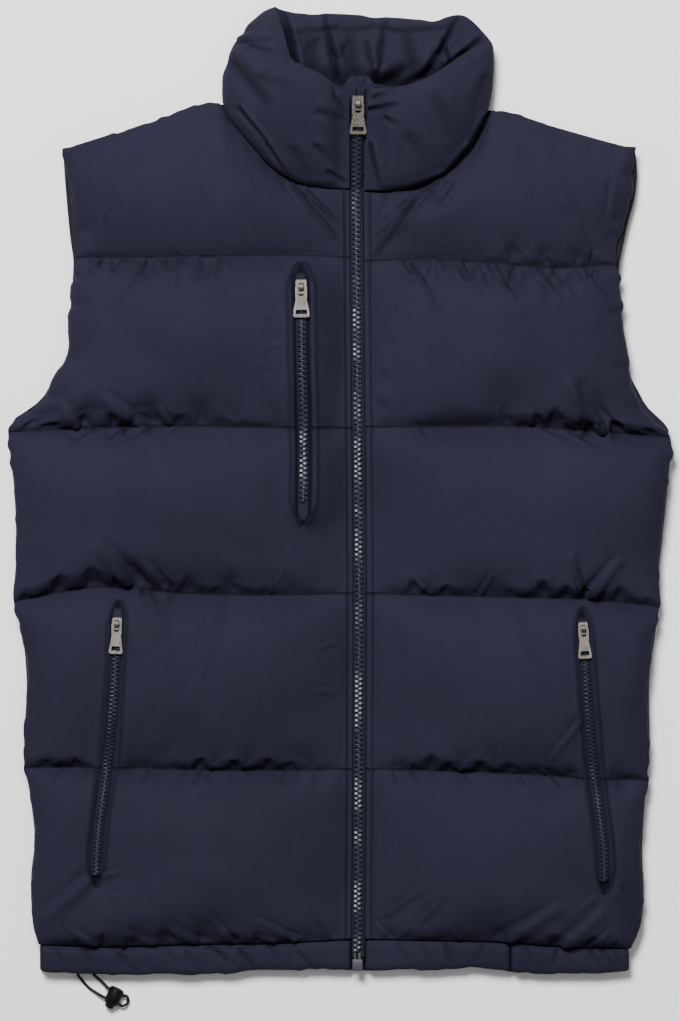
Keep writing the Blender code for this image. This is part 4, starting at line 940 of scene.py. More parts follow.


# %% [markdown]
# ### Large creases
#
# The simulation makes gathers of the right kind, but not the few long creases that a person
# would know this vest by. They could be sculpted with a brush, but then nobody could read or
# move them. So each is placed where it shows, as a soft trough with a small ridge on
# either side, where the cloth that it swallows has been pushed up. It is deepest where it
# starts, at a seam, and dies away along its run. The very bottom of a tight crease is narrower
# than the mesh can show, so the points there get painted shade, a darker colour for its shadow.

# %% Creases
CREASES = {
    # start x, y, end x, y, half width, depth
    "right": (
        (-45, 266, -6, 236, 2.2, 2.6), (-40, 261, -5, 220, 2.4, 3.2),
        (-28, 258, -11, 242, 2.0, 2.4), (-101, 288, -76, 258, 9, 1.5),
        (-128, 283, -115, 254, 7, 1.0), (-201, 238, -195, 223, 2.2, 0.9),
        (-139, 205, -148, 217, 2.2, 1.0), (-217, 278, -214, 244, 8, 0.8),
        (-204, 199, -222, 181, 2.0, 2.1), (-168, 196, -180, 173, 1.9, 1.8),
        (-139, 197, -140, 176, 1.7, 1.4), (-102, 199, -106, 179, 1.9, 1.7),
        (-150, 199, -154, 186, 1.5, 1.1), (-186, 199, -193, 188, 1.5, 1.1),
        (-65, 122, -49, 127, 2.2, 0.7), (-63, 108, -50, 103, 2.2, 0.6),
        (-20, 143, -12, 138, 1.6, 0.9), (-21, 126, -14, 121, 1.6, 0.9),
        (-67, 150, -50, 147, 2.2, 0.8), (-222, 52, -240, 74, 4.0, 3.6),
        (-168, 54, -200, 78, 4.0, 4.0), (-144, 56, -156, 72, 2.0, 2.2),
        (-209, 53, -224, 43, 1.7, 2.8), (-184, 54, -199, 43, 1.7, 2.8),
        (-162, 54, -177, 44, 1.7, 2.6), (-139, 55, -147, 48, 1.7, 1.6),
        (-165, -85, -158, -96, 1.7, 2.2), (-142, -86, -150, -98, 1.7, 2.0),
        (-60, -87, -57, -72, 1.6, 1.1), (-54, -78, -47, -64, 1.6, 1.0),
        (-174, -86, -204, -50, 5.0, 5.5), (-150, -86, -166, -64, 3.6, 3.2),
        (-99, -90, -121, -168, 4.5, 1.3), (-160, -102, -135, -165, 6.5, 0.9),
        (-131, -238, -135, -250, 1.7, 1.9), (-121, -238, -127, -254, 1.8, 2.2),
        (-112, -238, -116, -248, 1.6, 1.7), (-164, -238, -170, -251, 1.7, 1.9),
        (-46, -238, -50, -251, 1.7, 1.8), (-36, -238, -38, -248, 1.6, 1.6),
        (-238, -238, -246, -250, 1.8, 1.6), (-17, -134, -5, -130, 1.9, 1.2),
        (-17, -171, -4, -173, 2.0, 1.4), (-83, -236, -82, -218, 2.0, 1.1),
        (-201, -329, -187, -325, 2.0, 1.8), (-216, -336, -252, -366, 5.0, 2.4),
        (-196, -345, -184, -352, 2.0, 1.1), (-120, -388, -146, -374, 3.0, 2.2),
        (-93, -386, -112, -364, 2.4, 2.6), (-39, -384, -70, -368, 2.6, 2.4),
        (-9, -383, -27, -358, 2.2, 2.2), (-211, -388, -229, -377, 2.6, 1.8),
        (-186, -388, -197, -364, 2.2, 2.2), (-73, -386, -83, -373, 2.0, 1.4),
        (-160, -388, -182, -379, 3.0, 1.6), (-236, -388, -243, -371, 2.2, 1.5),
        (-57, -385, -77, -380, 1.8, 1.5), (-142, -388, -150, -382, 1.8, 1.2),
    ),
    "left": (
        (86, 270, 56, 240, 2.4, 3.4), (62, 246, 30, 206, 2.6, 4.0), (70, 258, 38, 226, 2.0, 2.6),
        (78, 256, 50, 222, 2.2, 1.8), (98, 262, 86, 246, 2.1, 2.0), (40, 256, 33, 238, 1.9, 1.6),
        (163, 199, 147, 216, 2, 1.0), (213, 205, 203, 230, 3, 1.4), (196, 245, 190, 262, 6, 1.1),
        (150, 290, 160, 262, 8, 1.0), (236, 262, 232, 236, 3, 1.3), (53, 197, 63, 180, 1.8, 1.7),
        (62, 196, 84, 156, 2.0, 2.3), (104, 196, 113, 179, 1.7, 1.5),
        (123, 196, 141, 171, 2.0, 2.0), (134, 190, 150, 163, 1.9, 1.8),
        (165, 195, 188, 166, 2.0, 2.1), (178, 194, 199, 168, 1.9, 1.8),
        (208, 191, 229, 164, 2.1, 2.0), (206, 52, 198, 90, 5.0, 4.6), (140, 56, 136, 70, 2.4, 2.0),
        (230, 48, 202, 84, 5.0, 5.0), (170, 54, 160, 68, 3.0, 2.2), (170, 54, 187, 46, 1.7, 2.6),
        (192, 53, 216, 38, 1.8, 2.8), (66, 55, 73, 46, 1.7, 1.8), (79, -89, 61, -73, 2.0, 1.7),
        (120, -89, 131, -71, 1.9, 1.7), (208, -92, 199, -58, 3.6, 4.2),
        (213, -92, 238, -62, 3.8, 4.2), (206, -197, 181, -229, 2.3, 1.6),
        (150, -110, 170, -160, 7, 0.9), (43, -238, 47, -250, 1.7, 1.7),
        (60, -238, 66, -251, 1.7, 1.8), (104, -239, 109, -250, 1.6, 1.5),
        (150, -240, 158, -253, 1.7, 1.8), (176, -241, 187, -254, 1.8, 1.9),
        (60, -120, 54, -170, 7, 0.8), (41, -383, 27, -368, 1.9, 1.5),
        (40, -363, 71, -341, 2.2, 1.9), (72, -366, 91, -345, 2.1, 1.8),
        (143, -385, 186, -358, 4.5, 3.0), (193, -388, 224, -362, 4.0, 2.4),
        (215, -390, 231, -378, 2.1, 1.7), (104, -386, 96, -372, 2.1, 1.4),
        (238, -345, 254, -366, 4.0, 1.8), (216, -350, 204, -358, 2.1, 1.2),
    ),
}


def press_creases(table, x, y):
    """Height of all the creases of a table at each point, below zero in their troughs.

    Also returns a painted-shade mask from 0 to 1, strongest along the bottom of each trough.
    """
    height, crease_shade = np.zeros_like(x), np.zeros_like(x)
    for x0, y0, x1, y1, half, depth in table:
        reach = 4 * half
        near = ((x > min(x0, x1) - reach) & (x < max(x0, x1) + reach)
                & (y > min(y0, y1) - reach) & (y < max(y0, y1) + reach))
        if not near.any():
            continue
        length = math.hypot(x1 - x0, y1 - y0)
        ux, uy = (x1 - x0) / length, (y1 - y0) / length
        px, py = x[near] - x0, y[near] - y0
        run = px * ux + py * uy
        waver = 0.12 * half * np.sin(run / (3.1 * half))
        off = (py * ux - px * uy) * (1 if ux >= 0 else -1) + waver
        beyond = np.maximum(0, np.maximum(-run, run - length))
        fade = np.exp(-(beyond / half) ** 2) * (1 - 0.6 * np.clip(run / length, 0, 1))
        trough = -np.exp(-(np.abs(off / half) ** 1.5))
        upper = 0.70 * np.exp(-(((off - 1.6 * half) / half) ** 2))
        lower = 0.15 * np.exp(-(((off + 1.9 * half) / half) ** 2))
        height[near] += depth * fade * (trough + upper + lower)
        # Painted shade: how strongly the colour is darkened along the bottom of this crease.
        tight = np.exp(-((off / max(0.5 * half, 1.2)) ** 2)) * fade * min(1.0, 0.55 * depth / half)
        crease_shade[near] = np.maximum(crease_shade[near], tight)
    return height, crease_shade


def paint_crack_shade(piece, values):
    """Stores a painted-shade mask that darkens a piece's colour in its seams and creases; points
    past the last value have none.
    """
    painted_crack_shade = np.zeros(len(piece.data.vertices), dtype=np.float32)
    painted_crack_shade[:values.size] = values.ravel()
    piece.data.attributes.new("painted_crack_shade", "FLOAT", "POINT").data.foreach_set("value", painted_crack_shade)


# %% Surface of a front
EDGE_INSET = 4.0          # how far a front's free edge curls in under it
PLACKET_GROOVE = 1.7      # depths of the stitched grooves
SEAM_GROOVE = 0.8
POCKET_GROOVE = 1.5
CHANNEL_HIGH = 147.0      # usual height of a channel, which turns its shares into millimetres
FINER = 2                 # how many times finer the surface is than the cloth that was settled
CREASE_GAIN = 1.4         # deepens all the creases of a front alike
LOWEST_Z = SEAM_Z - 2.6   # no groove of a front goes below this


def through_rows(table, count):
    """Rows spread evenly through a table on a smooth curve through its rows."""
    rows = np.asarray(table, dtype=float)
    ends = np.vstack([2 * rows[0] - rows[1], rows, 2 * rows[-1] - rows[-2]])
    place = np.linspace(0, len(rows) - 1, count)
    first = np.minimum(place.astype(int), len(rows) - 2)
    f = (place - first)[:, None]
    a, b, c, d = (ends[first + k] for k in range(4))
    return 0.5 * (2 * b + (c - a) * f + (2 * a - 5 * b + 4 * c - d) * f**2
                  + (3 * b - a - 3 * c + d) * f**3)


def finer_grid(grid, times, breaks):
    """A smoother, finer grid through a coarse one, with a sharp fold at each row in breaks."""
    def finer(block):
        """A block of rows with more rows between them."""
        flat = through_rows(block.reshape(len(block), -1), (len(block) - 1) * times + 1)
        return flat.reshape((-1,) + block.shape[1:])
    wide = np.moveaxis(finer(np.moveaxis(grid, 1, 0)), 0, 1)
    blocks = [finer(wide[low:high + 1]) for low, high in zip(breaks[:-1], breaks[1:])]
    return np.concatenate([block[:-1] for block in blocks[:-1]] + [blocks[-1]])


def calm_grid(points, calm, passes=10):
    """Each point drawn towards the middle of its four neighbours, by its share of calm."""
    points = points.copy()
    for _ in range(passes):
        around = (points[:-2, 1:-1] + points[2:, 1:-1] + points[1:-1, :-2] + points[1:-1, 2:]) / 4
        points[1:-1, 1:-1] += 0.6 * calm[1:-1, 1:-1, None] * (around - points[1:-1, 1:-1])
    return points


def stop_at_seams(points, breaks, over=0.5):
    """Padding that has slid down past the quilt line below it is held back near that line.

    A point's distance above the line stays as it is from 1 mm up. Below that it eases
    towards a small overhang, so the line under the roll stays clean.
    """
    points = points.copy()
    for high, low in zip(breaks[:-1], breaks[1:]):
        line = points[low, :, 1]
        above = points[high + 1:low, :, 1] - line
        eased = -over + (1 + over) * np.exp((np.minimum(above, 1.0) - 1) / (1 + over))
        points[high + 1:low, :, 1] = line + np.where(above < 1, eased, above)
    return points


def bell(distance, reach):
    """1 at no distance, about a third at its reach and almost nothing at twice that."""
    return np.exp(-(distance / reach) ** 2)


def from_seam(share):
    """Share of a channel from each point to the nearest quilt line."""
    return np.minimum(share % 1, 1 - share % 1)


def gathered_front(side):
    """A front's form with its pocket mouths, settled into its gathers, on a finer grid.

    Returns its points, the share down each channel and the distance out from the opening.
    """
    form, share, out = front_form(side)
    form = sink_pockets(side, form)
    x, y = form[..., 0], form[..., 1]
    gap = from_seam(share)
    held = (gap < 1e-6) | (out < PLACKET + 3.1)
    held[:, -2:] = True
    for pocket in POCKETS[side]:
        _, lip, _, inside = pocket_widths(pocket, y)
        held |= inside & (from_pocket(pocket, x, y) < lip + 0.3)
    spare = spare_cloth(side, x, y, share, out[:, -1:] - out)
    start = unevenness(19.0, 57, x, y) * np.clip(20 * gap, 0, 1) * spare
    form[..., 2] += np.where(held, 0, start)
    settled = settle_cloth(form, held, spare, flip=HAND[side] > 0)
    settled = calm_grid(settled, np.where(held, 0.0, 1 - ease(spare, 0.0, 0.35)))
    breaks = np.r_[0, np.cumsum(ROWS_IN_CHANNEL)]
    settled = stop_at_seams(settled, breaks)
    fine = finer_grid(np.dstack([settled, share, out]), FINER, breaks)
    return fine[..., :3], fine[..., 3], fine[..., 4]


def front_surface(side):
    """The finished outer surface of a front: its gathered form, then creased and grooved.

    Returns its grid of points and, for each point, a painted-shade mask that darkens its colour
    along quilt lines, the placket, creases and pocket mouths.
    """
    form, share, out = gathered_front(side)
    x, y = form[..., 0], form[..., 1]
    height, crease_shade = press_creases(CREASES[side], x, y)
    height = CREASE_GAIN * height
    height += (0.40 * unevenness(34.0, 31, x, y * 0.8)
               + 0.05 * unevenness(11.0, 32, x + 0.4 * y, y))
    gap = from_seam(share)
    flat = ease(out, 3.0, 12.0) * (0.35 + 0.65 * ease(gap, 0.0, 0.02))
    height = height * flat - PLACKET_GROOVE * bell(out - PLACKET, 1.2)
    on_seam = bell(gap * CHANNEL_HIGH, 1.0) * ease(share, 0.3, 0.7)
    height -= SEAM_GROOVE * on_seam
    # Painted shade: darker colour along the quilt lines, the placket's stitch groove and the
    # creases, for their shadow.
    painted_crack_shade = np.maximum(on_seam, 0.7 * bell(out - PLACKET, 0.9))
    painted_crack_shade = np.maximum(painted_crack_shade, 0.85 * crease_shade * flat)
    for pocket in POCKETS[side]:
        line, half, lips, round_it = pocket
        away = from_pocket(pocket, x, y)
        mouth, _, _, inside = pocket_widths(pocket, y)
        to_end = np.clip(np.minimum(line[0][0] + 1.0 - y, y - line[-1][0] + 1.0), 0, None)
        groove = round_it * np.sqrt(np.clip(to_end / 22.0, 0, 1))
        on_groove = np.where(inside, bell(away - groove, 1.3), 0)
        height = np.where(inside, height * ease(away, half - 1.0, lips + 1), height)
        height -= POCKET_GROOVE * on_groove
        # Painted shade in each pocket's groove and, darker still, in its mouth.
        painted_crack_shade = np.maximum(painted_crack_shade, 0.65 * on_groove)
        painted_crack_shade = np.maximum(painted_crack_shade, np.where(inside & (away < mouth + 0.3), 0.9, 0))
    surface = form + grid_normals(form) * HAND[side] * height[..., None]
    surface[..., 2] = np.maximum(surface[..., 2], LOWEST_Z)
    return surface, painted_crack_shade


def arc_lengths(points):
    """A UV map for a grid in millimetres: length run along the rows and down the columns."""
    steps = (np.diff(points, axis=1, prepend=points[:, :1]),
             np.diff(points, axis=0, prepend=points[:1]))
    along, down = (np.cumsum(np.linalg.norm(step, axis=-1), axis=1 - k)
                   for k, step in enumerate(steps))
    return np.stack([along, down], -1).reshape(-1, 2)


def inset_loop(points, amounts):
    """A closed outline moved inwards by an amount at each point."""
    before, after = np.roll(points, 1, axis=0), np.roll(points, -1, axis=0)
    run = unit(unit(points - before) + unit(after - points))
    area = np.sum(points[:, 0] * after[:, 1] - after[:, 0] * points[:, 1])
    return points + np.column_stack([-run[:, 1], run[:, 0]]) * np.sign(area) * amounts[:, None]


# %% Build the fronts
EDGE_RINGS = ((0.35, 0.2), (0.7, 0.45), (1.0, 1.0))   # shares of the way down and in, at an edge


def calm_loop(points, where, passes=60):
    """A closed outline with its small ripples ironed out, by its share where at each point."""
    points = points.copy()
    for _ in range(passes):
        middle = (np.roll(points, 1, axis=0) + np.roll(points, -1, axis=0)) / 2
        points += 0.5 * where[:, None] * (middle - points)
    return points


def build_front(side):
    """A front as one closed body: its surface, a rounded edge, and a plain inside."""
    surface, painted_crack_shade = front_surface(side)
    rows, columns = surface.shape[:2]
    index = np.arange(rows * columns).reshape(rows, columns)
    rim = np.concatenate([index[:, 0], index[-1, 1:], index[-2::-1, -1], index[0, -2:0:-1]])
    free = np.repeat([0.0, 1.0, 0.0], [rows + columns - 1, rows - 1, columns - 2])
    outer = surface.reshape(-1, 3)[rim]
    shoulder = (outer[:, 1] > 290) & (np.abs(outer[:, 0]) > abs(NECK_POINT[side]) + 1)
    free = np.maximum(free, shoulder)
    calm = calm_loop(outer[:, :2], free)
    faces, upper, rings = grid_quads(rows, columns), rim, []
    for drop, pulled in EDGE_RINGS:
        lower = rows * columns + len(rings) * len(rim) + np.arange(len(rim))
        faces += np.stack([upper, np.roll(upper, -1), np.roll(lower, -1), lower], -1).tolist()
        upper = lower
        ring = inset_loop(outer[:, :2] + (calm - outer[:, :2]) * pulled,
                          EDGE_INSET * pulled * free + 0.02)
        rings.append(np.column_stack([ring, outer[:, 2] + (FRONT_FLOOR - outer[:, 2]) * drop]))
    faces.append(upper[::-1].tolist())
    verts = np.vstack([surface.reshape(-1, 3)] + rings)
    uv = np.vstack([arc_lengths(surface)] + [ring[:, :2] for ring in rings])
    piece = point_out(make_piece("padded_front_" + side, verts, faces, SHELL, uv))
    # Painted shade along the front's seams, creases and pocket mouths.
    paint_crack_shade(piece, painted_crack_shade)
    dress(piece, "shell", "front_" + side)
    print(piece.name, rows, "x", columns, "points,", round(float(verts[:, 2].max()), 1), "mm high")
    return surface


front_grids = {side: build_front(side) for side in HAND}

# %% [markdown]
# ## The back
#
# The back lies on the table, so its quilting is pressed flat there and only the grooves of
# its quilt lines stay clear of the surface. At the sides each channel swells out and the
# quilt lines draw it in. It could be a second simulated front, but almost nothing of it is
# seen, so a plain formula is enough. Its section at any height is one closed loop, and the
# body is a stack of such loops from the shoulders to the hem.

# %% Build the back
BACK_TOP = 16.0           # height of its inside
BACK_EDGE_Z = 7.5         # height of its lower edge at the sides
BACK_SIDE_IN = 2.4        # how far its flat faces stop short of its sides
BACK_BULGE = 3.6          # how far a full channel swells out past them
BACK_DRAWN = 2.6          # how much of that a quilt line draws in
BACK_ROWS, BACK_COLUMNS, BACK_ARC = 22, 90, 9
BACK_NECK = (
    # x, y of the neck line between the two shoulder points
    (-101, 333), (-88, 332), (-70, 329), (-40, 327), (80, 327), (112, 328), (129, 328),
)


def back_top_y(x):
    """Shoulder and neck line of the back, with the neck between the two shoulder points."""
    inner = np.where(x > NECK_POINT["left"], line_at(TOP_LEFT, x), line_at(BACK_NECK, x))
    return np.where(x < NECK_POINT["right"], line_at(TOP_RIGHT, x), inner)


def back_seam_y(line, x):
    """A quilt line of the back, straight between its ends on the two side seams."""
    low, high = SEAMS["right"][line][-1], SEAMS["left"][line][-1]
    if line == LAST:
        return hem_seam_y(x)
    return low + (high - low) * (x + 280) / 560 + 2.0 * unevenness(80.0, 60 + line, x)


def hem_seam_y(x):
    """Height of the seam above the hem band at places across the vest."""
    x = np.asarray(x, float)
    heights = []
    for side in HAND:
        start = float(opening_x(side, -390.0))
        share = np.clip((x - start) / (float(side_x(side, -390.0)) - start), 0, 1)
        heights.append(seam_y(side, LAST, share))
    return np.where(x > float(zip_x(-390.0)), heights[1], heights[0])


def plump(share):
    """How full a channel of the back is at a share of its height, from 0 at its quilt lines."""
    return (1 - abs(2 * share - 1) ** 2.5) ** 0.58


def build_back():
    """Closed loops of points: the resting face, one side's curve, the inside, the other."""
    share = np.linspace(0, 1, BACK_COLUMNS)
    inward = BACK_SIDE_IN * (1 - 2 * share) * np.abs(1 - 2 * share) ** 12
    turn = np.linspace(0, math.pi, BACK_ARC + 2)[1:-1]
    arc_z = BACK_EDGE_Z + (BACK_TOP - BACK_EDGE_Z) * 0.5 * (1 - np.cos(turn))
    channels = []
    for channel in range(len(CROWNS)):
        v = channel_steps(BACK_ROWS, channel == LAST)[:, None]

        def row_y(x):
            """Height of each row of the channel at places across the vest."""
            high = back_top_y(x) if channel == 0 else back_seam_y(channel - 1, x)
            return high + (back_seam_y(channel, x) - high) * v
        low_x, high_x = side_x("right", 200.0, 2) + 0 * v, side_x("left", 200.0, 2) + 0 * v
        for _ in range(3):
            low_x, high_x = side_x("right", row_y(low_x), 2), side_x("left", row_y(high_x), 2)
        x = low_x + (high_x - low_x) * share
        y = row_y(x)
        edge = edge_rise(np.minimum(x - low_x, high_x - x), 26.0)
        groove = 6.0 * (1 - plump(v)) ** 1.5
        z = groove * (0.4 + 0.6 * edge) + BACK_EDGE_Z * (1 - edge)
        z = z + 0.5 * groove * unevenness(12.0, 70, x, y)
        bulge = np.sin(turn) * (BACK_BULGE - BACK_DRAWN * (1 - plump(v))) - BACK_SIDE_IN
        sides = [np.stack(np.broadcast_arrays(edge_x, edge_y, arc_z), -1) for edge_x, edge_y in (
            (high_x + bulge, y[:, -1:]), (low_x - bulge, y[:, :1]))]
        faces = [np.stack(np.broadcast_arrays(x + inward, y, face_z), -1)
                 for face_z in (z, BACK_TOP)]
        channels.append(np.concatenate(
            [faces[0], sides[0], faces[1][:, ::-1], sides[1][:, ::-1]], axis=1))
    loops = np.concatenate(channels)
    piece = dress(closed_piece("padded_back", loops, SHELL), "shell", "back_panel")
    print(piece.name, loops.shape[0], "loops of", loops.shape[1], "points")


build_back()

# %% [markdown]
# ## Armhole facings
#
# Inside each armhole a strip of dull dark cloth shows past the front's edge. It is gathered
# by its elastic, so its free edge ripples. A strip this narrow needs no simulation: a sine
# along it, with a pace that wanders, ripples as the gathers do.

# %% Build the facings
FACING_LOW = {"right": 70.0, "left": 82.0}     # where each strip comes out from under the front
FACING_HIGH = 284.0


def build_facing(side):
    """A thin strip between the front's edge and the back's edge, with a rippled surface."""
    y = np.linspace(FACING_LOW[side], FACING_HIGH, 130)[:, None]
    inner = np.abs(side_x(side, y)) - EDGE_INSET + 1.4
    outer = np.maximum(np.abs(side_x(side, y, 2)) - 0.9, inner + 1.4)
    across = np.linspace(0, 1, 9)
    x = HAND[side] * (inner + (outer - inner) * across)
    ripple = 0.55 * np.sin(y / 2.6 + 5 * unevenness(20.0, 80, y))
    z = FRONT_FLOOR + 0.55 + (0.45 + 0.4 * ripple) * np.sin(math.pi * across) ** 0.6
    top, low = (np.stack(np.broadcast_arrays(x, y, height), -1) for height in (z, FRONT_FLOOR))
    loops = np.concatenate([top, low[:, ::-1]], axis=1)
    dress(closed_piece("facing_" + side, loops, FACING), "facing", "armhole_facing_" + side)


for side in HAND:
    build_facing(side)
print("two armhole facings")

# %% [markdown]
# ## The collar
#
# The collar is a padded band that stands up from the neck seam, folded round at both sides.
# It could be a cloth bent into place by simulation, but where it folds depends on how it was
# laid down, which only the photo tells. So it is a wall with two faces: stations along the
# neck seam say where its foot and rim are and how thick its padding is, and a smooth curve
# runs through them. Its folds are listed creases, deep ones inside the mouth.

# %% Collar stations
COLLAR = (
    # foot x, y, z, rim x, y, z, inner pad, outer pad, bow
    (8.2, 261.0, 20.5, 8.0, 338.0, 43.0, 2.5, 2.5, 0.0),
    (0.5, 261.2, 20.5, 1.5, 343.0, 45.0, 2.5, 3.0, 1.0),
    (-12.0, 261.6, 20.6, -9.0, 351.0, 46.5, 3.0, 8.5, 2.5),
    (-34.0, 265.4, 20.8, -20.5, 358.0, 47.5, 5.0, 9.0, 4.0),
    (-57.5, 279.0, 21.0, -33.0, 363.5, 47.5, 6.0, 9.0, 5.0),
    (-78.0, 301.5, 21.0, -42.0, 371.0, 44.5, 5.5, 8.0, 7.0),
    (-95.0, 321.0, 20.5, -47.5, 391.0, 36.5, 4.5, 6.0, 10.0),
    (-98.8, 331.5, 17.5, -53.0, 410.0, 26.0, 3.5, 5.0, 11.5),
    (-98.4, 335.5, 12.0, -56.0, 418.0, 16.5, 3.5, 5.0, 11.0),
    (-92.0, 335.0, 9.0, -47.0, 413.5, 10.5, 5.0, 6.0, 5.0),
    (-56.0, 332.0, 8.4, -14.0, 411.5, 11.0, 10.0, 7.5, 0.4),
    (13.0, 331.0, 8.2, 33.0, 409.0, 11.5, 10.0, 7.5, 0.4),
    (86.0, 331.0, 8.4, 77.0, 405.5, 11.5, 10.0, 7.5, 0.4),
    (114.0, 331.0, 9.0, 105.5, 409.5, 11.5, 6.0, 6.5, 1.0),
    (123.4, 332.5, 12.0, 124.0, 394.5, 16.0, 3.5, 5.0, 2.0),
    (123.8, 326.5, 17.0, 126.0, 386.5, 25.0, 3.5, 5.0, 2.0),
    (120.2, 312.0, 20.2, 114.0, 379.5, 33.0, 4.5, 6.0, 4.0),
    (107.8, 291.5, 21.0, 98.0, 369.0, 42.5, 5.5, 8.0, 5.0),
    (89.0, 272.8, 21.0, 83.5, 358.0, 47.5, 6.0, 9.0, 5.0),
    (66.5, 263.0, 20.8, 66.0, 349.0, 48.0, 5.0, 9.0, 4.0),
    (44.0, 259.6, 20.6, 47.0, 345.0, 47.0, 3.0, 8.5, 2.5),
    (29.5, 259.4, 20.5, 33.0, 347.0, 45.5, 2.5, 3.0, 1.0),
    (20.6, 259.4, 20.5, 24.8, 348.0, 44.0, 2.5, 2.5, 0.0),
)
COLLAR_ALONG = 420        # points along it, and up each of its faces
COLLAR_UP = 56
COLLAR_HIGH = 84.0        # usual height, which sets the scale of its weave
COLLAR_SEAM_HALF = 2.5    # half its thickness at the neck seam
RIM_WAVE = 1.3            # how far its rim waves up and down
INNER_DEEPEST = -7.0      # no fold inside the mouth is deeper than this
COLLAR_FILL = (
    # share of the way up the wall, share of the pad there
    (0.0, 0.0), (0.04, 0.50), (0.12, 0.84), (0.3, 1.0), (0.6, 1.0), (0.8, 0.88), (0.93, 0.6),
    (1.0, 0.0),
)
COLLAR_CREASES_OUTER = (
    # start x, y, end x, y, half width, depth
    (-86, 327, -62, 296, 1.9, 4.0), (-62, 296, -45, 270, 1.9, 4.2), (-91, 366, -66, 334, 6.5, 4.2),
    (-87, 386, -58, 386, 2.4, 2.0), (-77, 382, -57, 375, 2.4, 2.4), (-93, 392, -70, 400, 3.0, 1.4),
    (-6, 351, -4, 336, 2.4, 2.6), (-4, 336, 4, 325, 2.2, 2.2), (-18, 323, 2, 318, 3.6, 1.8),
    (-20, 294, -11, 286, 3.0, 1.8), (-9, 273, 4, 266, 2.2, 3.0), (-44, 262, -6, 262, 2.4, 1.5),
    (-40, 290, -30, 276, 5.0, 1.6), (-66, 352, -46, 344, 5.0, 1.6), (25, 326, 47, 329, 2.4, 4.2),
    (30, 336, 46, 344, 2.2, 2.6), (39, 318, 47, 314, 2.2, 2.2), (26, 296, 33, 262, 2.0, 2.2),
    (126, 320, 112, 294, 2.8, 3.2), (112, 294, 90, 270, 2.8, 3.6), (90, 270, 66, 262, 2.4, 2.6),
    (124, 352, 116, 334, 5.0, 2.2), (84, 330, 96, 306, 8.0, 1.6), (60, 300, 74, 282, 6.0, 1.4),
    (104, 372, 86, 352, 4.0, 1.6),
)
COLLAR_CREASES_INNER = (
    # start x, y, end x, y, half width, depth
    (-37, 362, -44, 396, 3.4, 9.5), (-43, 388, -48, 412, 2.8, 8.0), (-1, 352, -6, 378, 3.2, 9.5),
    (-5, 374, -14, 410, 2.5, 8.5), (30, 354, 23, 385, 2.0, 7.0), (31, 354, 39, 402, 2.6, 4.5),
    (44, 351, 51, 362, 6.5, 9.0), (55, 348, 75, 361, 3.4, 9.0), (73, 358, 87, 381, 3.4, 9.5),
    (86, 378, 100, 406, 2.5, 8.5), (95, 366, 107, 378, 3.0, 9.0), (104, 375, 120, 390, 2.2, 6.0),
    (97, 364, 88, 388, 2.0, 5.0), (-3, 399, -36, 395, 3.0, 2.2), (28, 400, 4, 396, 3.0, 2.0),
    (36, 399, 60, 395, 3.0, 2.2), (64, 397, 92, 400, 3.0, 2.0), (-24, 366, -27, 396, 6.0, 2.6),
    (12, 364, 8, 392, 6.0, 2.2), (35, 349, -36, 355, 9.0, 6.5), (35, 349, 100, 364, 8.0, 6.5),
    (62, 368, 58, 394, 6.0, 2.4), (2, 380, 12, 392, 2.6, 1.6), (-20, 388, -30, 378, 2.6, 1.6),
)

# %% Build the collar


def build_collar():
    """Both faces of the wall as one grid of loops, creased along its normals."""
    rows = through_rows(COLLAR, COLLAR_ALONG)
    foot, rim = rows[:, 0:3], rows[:, 3:6].copy()
    inner_pad, outer_pad, bow = (rows[:, None, k:k + 1] for k in (6, 7, 8))
    rim[:, 1] += RIM_WAVE * unevenness(13.0, 95, run_of(rim)) * ease(rim[:, 1], 372.0, 400.0)
    middle = (foot + rim) / 2
    normal = unit(np.cross(rim - foot, np.gradient(middle, axis=0)))[:, None]
    even = np.linspace(0, 1, COLLAR_UP)
    share = 0.5 * (0.5 - 0.5 * np.cos(math.pi * even)) + 0.5 * even
    w = share[None, :, None]
    wall = foot[:, None] + (rim - foot)[:, None] * w + normal * bow * np.sin(math.pi * w)
    thin = COLLAR_SEAM_HALF * (1 - w**5)
    fill = np.clip(curve_at(COLLAR_FILL, w), 0, 1)
    outer = wall + normal * (thin + np.maximum(outer_pad - thin, 0) * fill)
    inner = wall - normal * (thin + np.maximum(inner_pad - thin, 0) * fill * ease(w, -0.3, 0.9))
    faded = np.sin(math.pi * np.clip(share, 0.02, 0.98)) ** 0.5
    x, y = outer[..., 0], outer[..., 1]
    height, crease_shade_out = press_creases(COLLAR_CREASES_OUTER, x, y)
    height = 1.3 * height + 0.9 * unevenness(26.0, 90, x, y) + 0.12 * unevenness(9.0, 91, x, y)
    outer = outer + normal * (height * faded)[..., None]
    x, y = inner[..., 0], inner[..., 1]
    height, crease_shade_in = press_creases(COLLAR_CREASES_INNER, x, y)
    height = np.maximum(0.9 * height, INNER_DEEPEST) + 0.9 * unevenness(20.0, 92, x, y)
    inner = inner - normal * (height * faded)[..., None]
    loops = np.concatenate([outer, inner[:, -2::-1]], axis=1)
    loops[..., 2] = np.maximum(loops[..., 2], 0.1)
    up = np.r_[share, 2 - share[-2::-1]] * COLLAR_HIGH
    uv = pairs_of(run_of(middle)[:, None], up)
    piece = closed_piece("padded_collar", loops, SHELL, uv)
    # Painted shade in the collar's creases, strongest inside its mouth.
    crease_shade_out, crease_shade_in = (crease_shade_out * faded) ** 0.6, (crease_shade_in * faded) ** 0.35
    paint_crack_shade(piece, np.concatenate([crease_shade_out, crease_shade_in[:, -2::-1]], axis=1))
    dress(piece, "shell", "collar")
    print(piece.name, loops.shape[0], "x", loops.shape[1], "points")


build_collar()

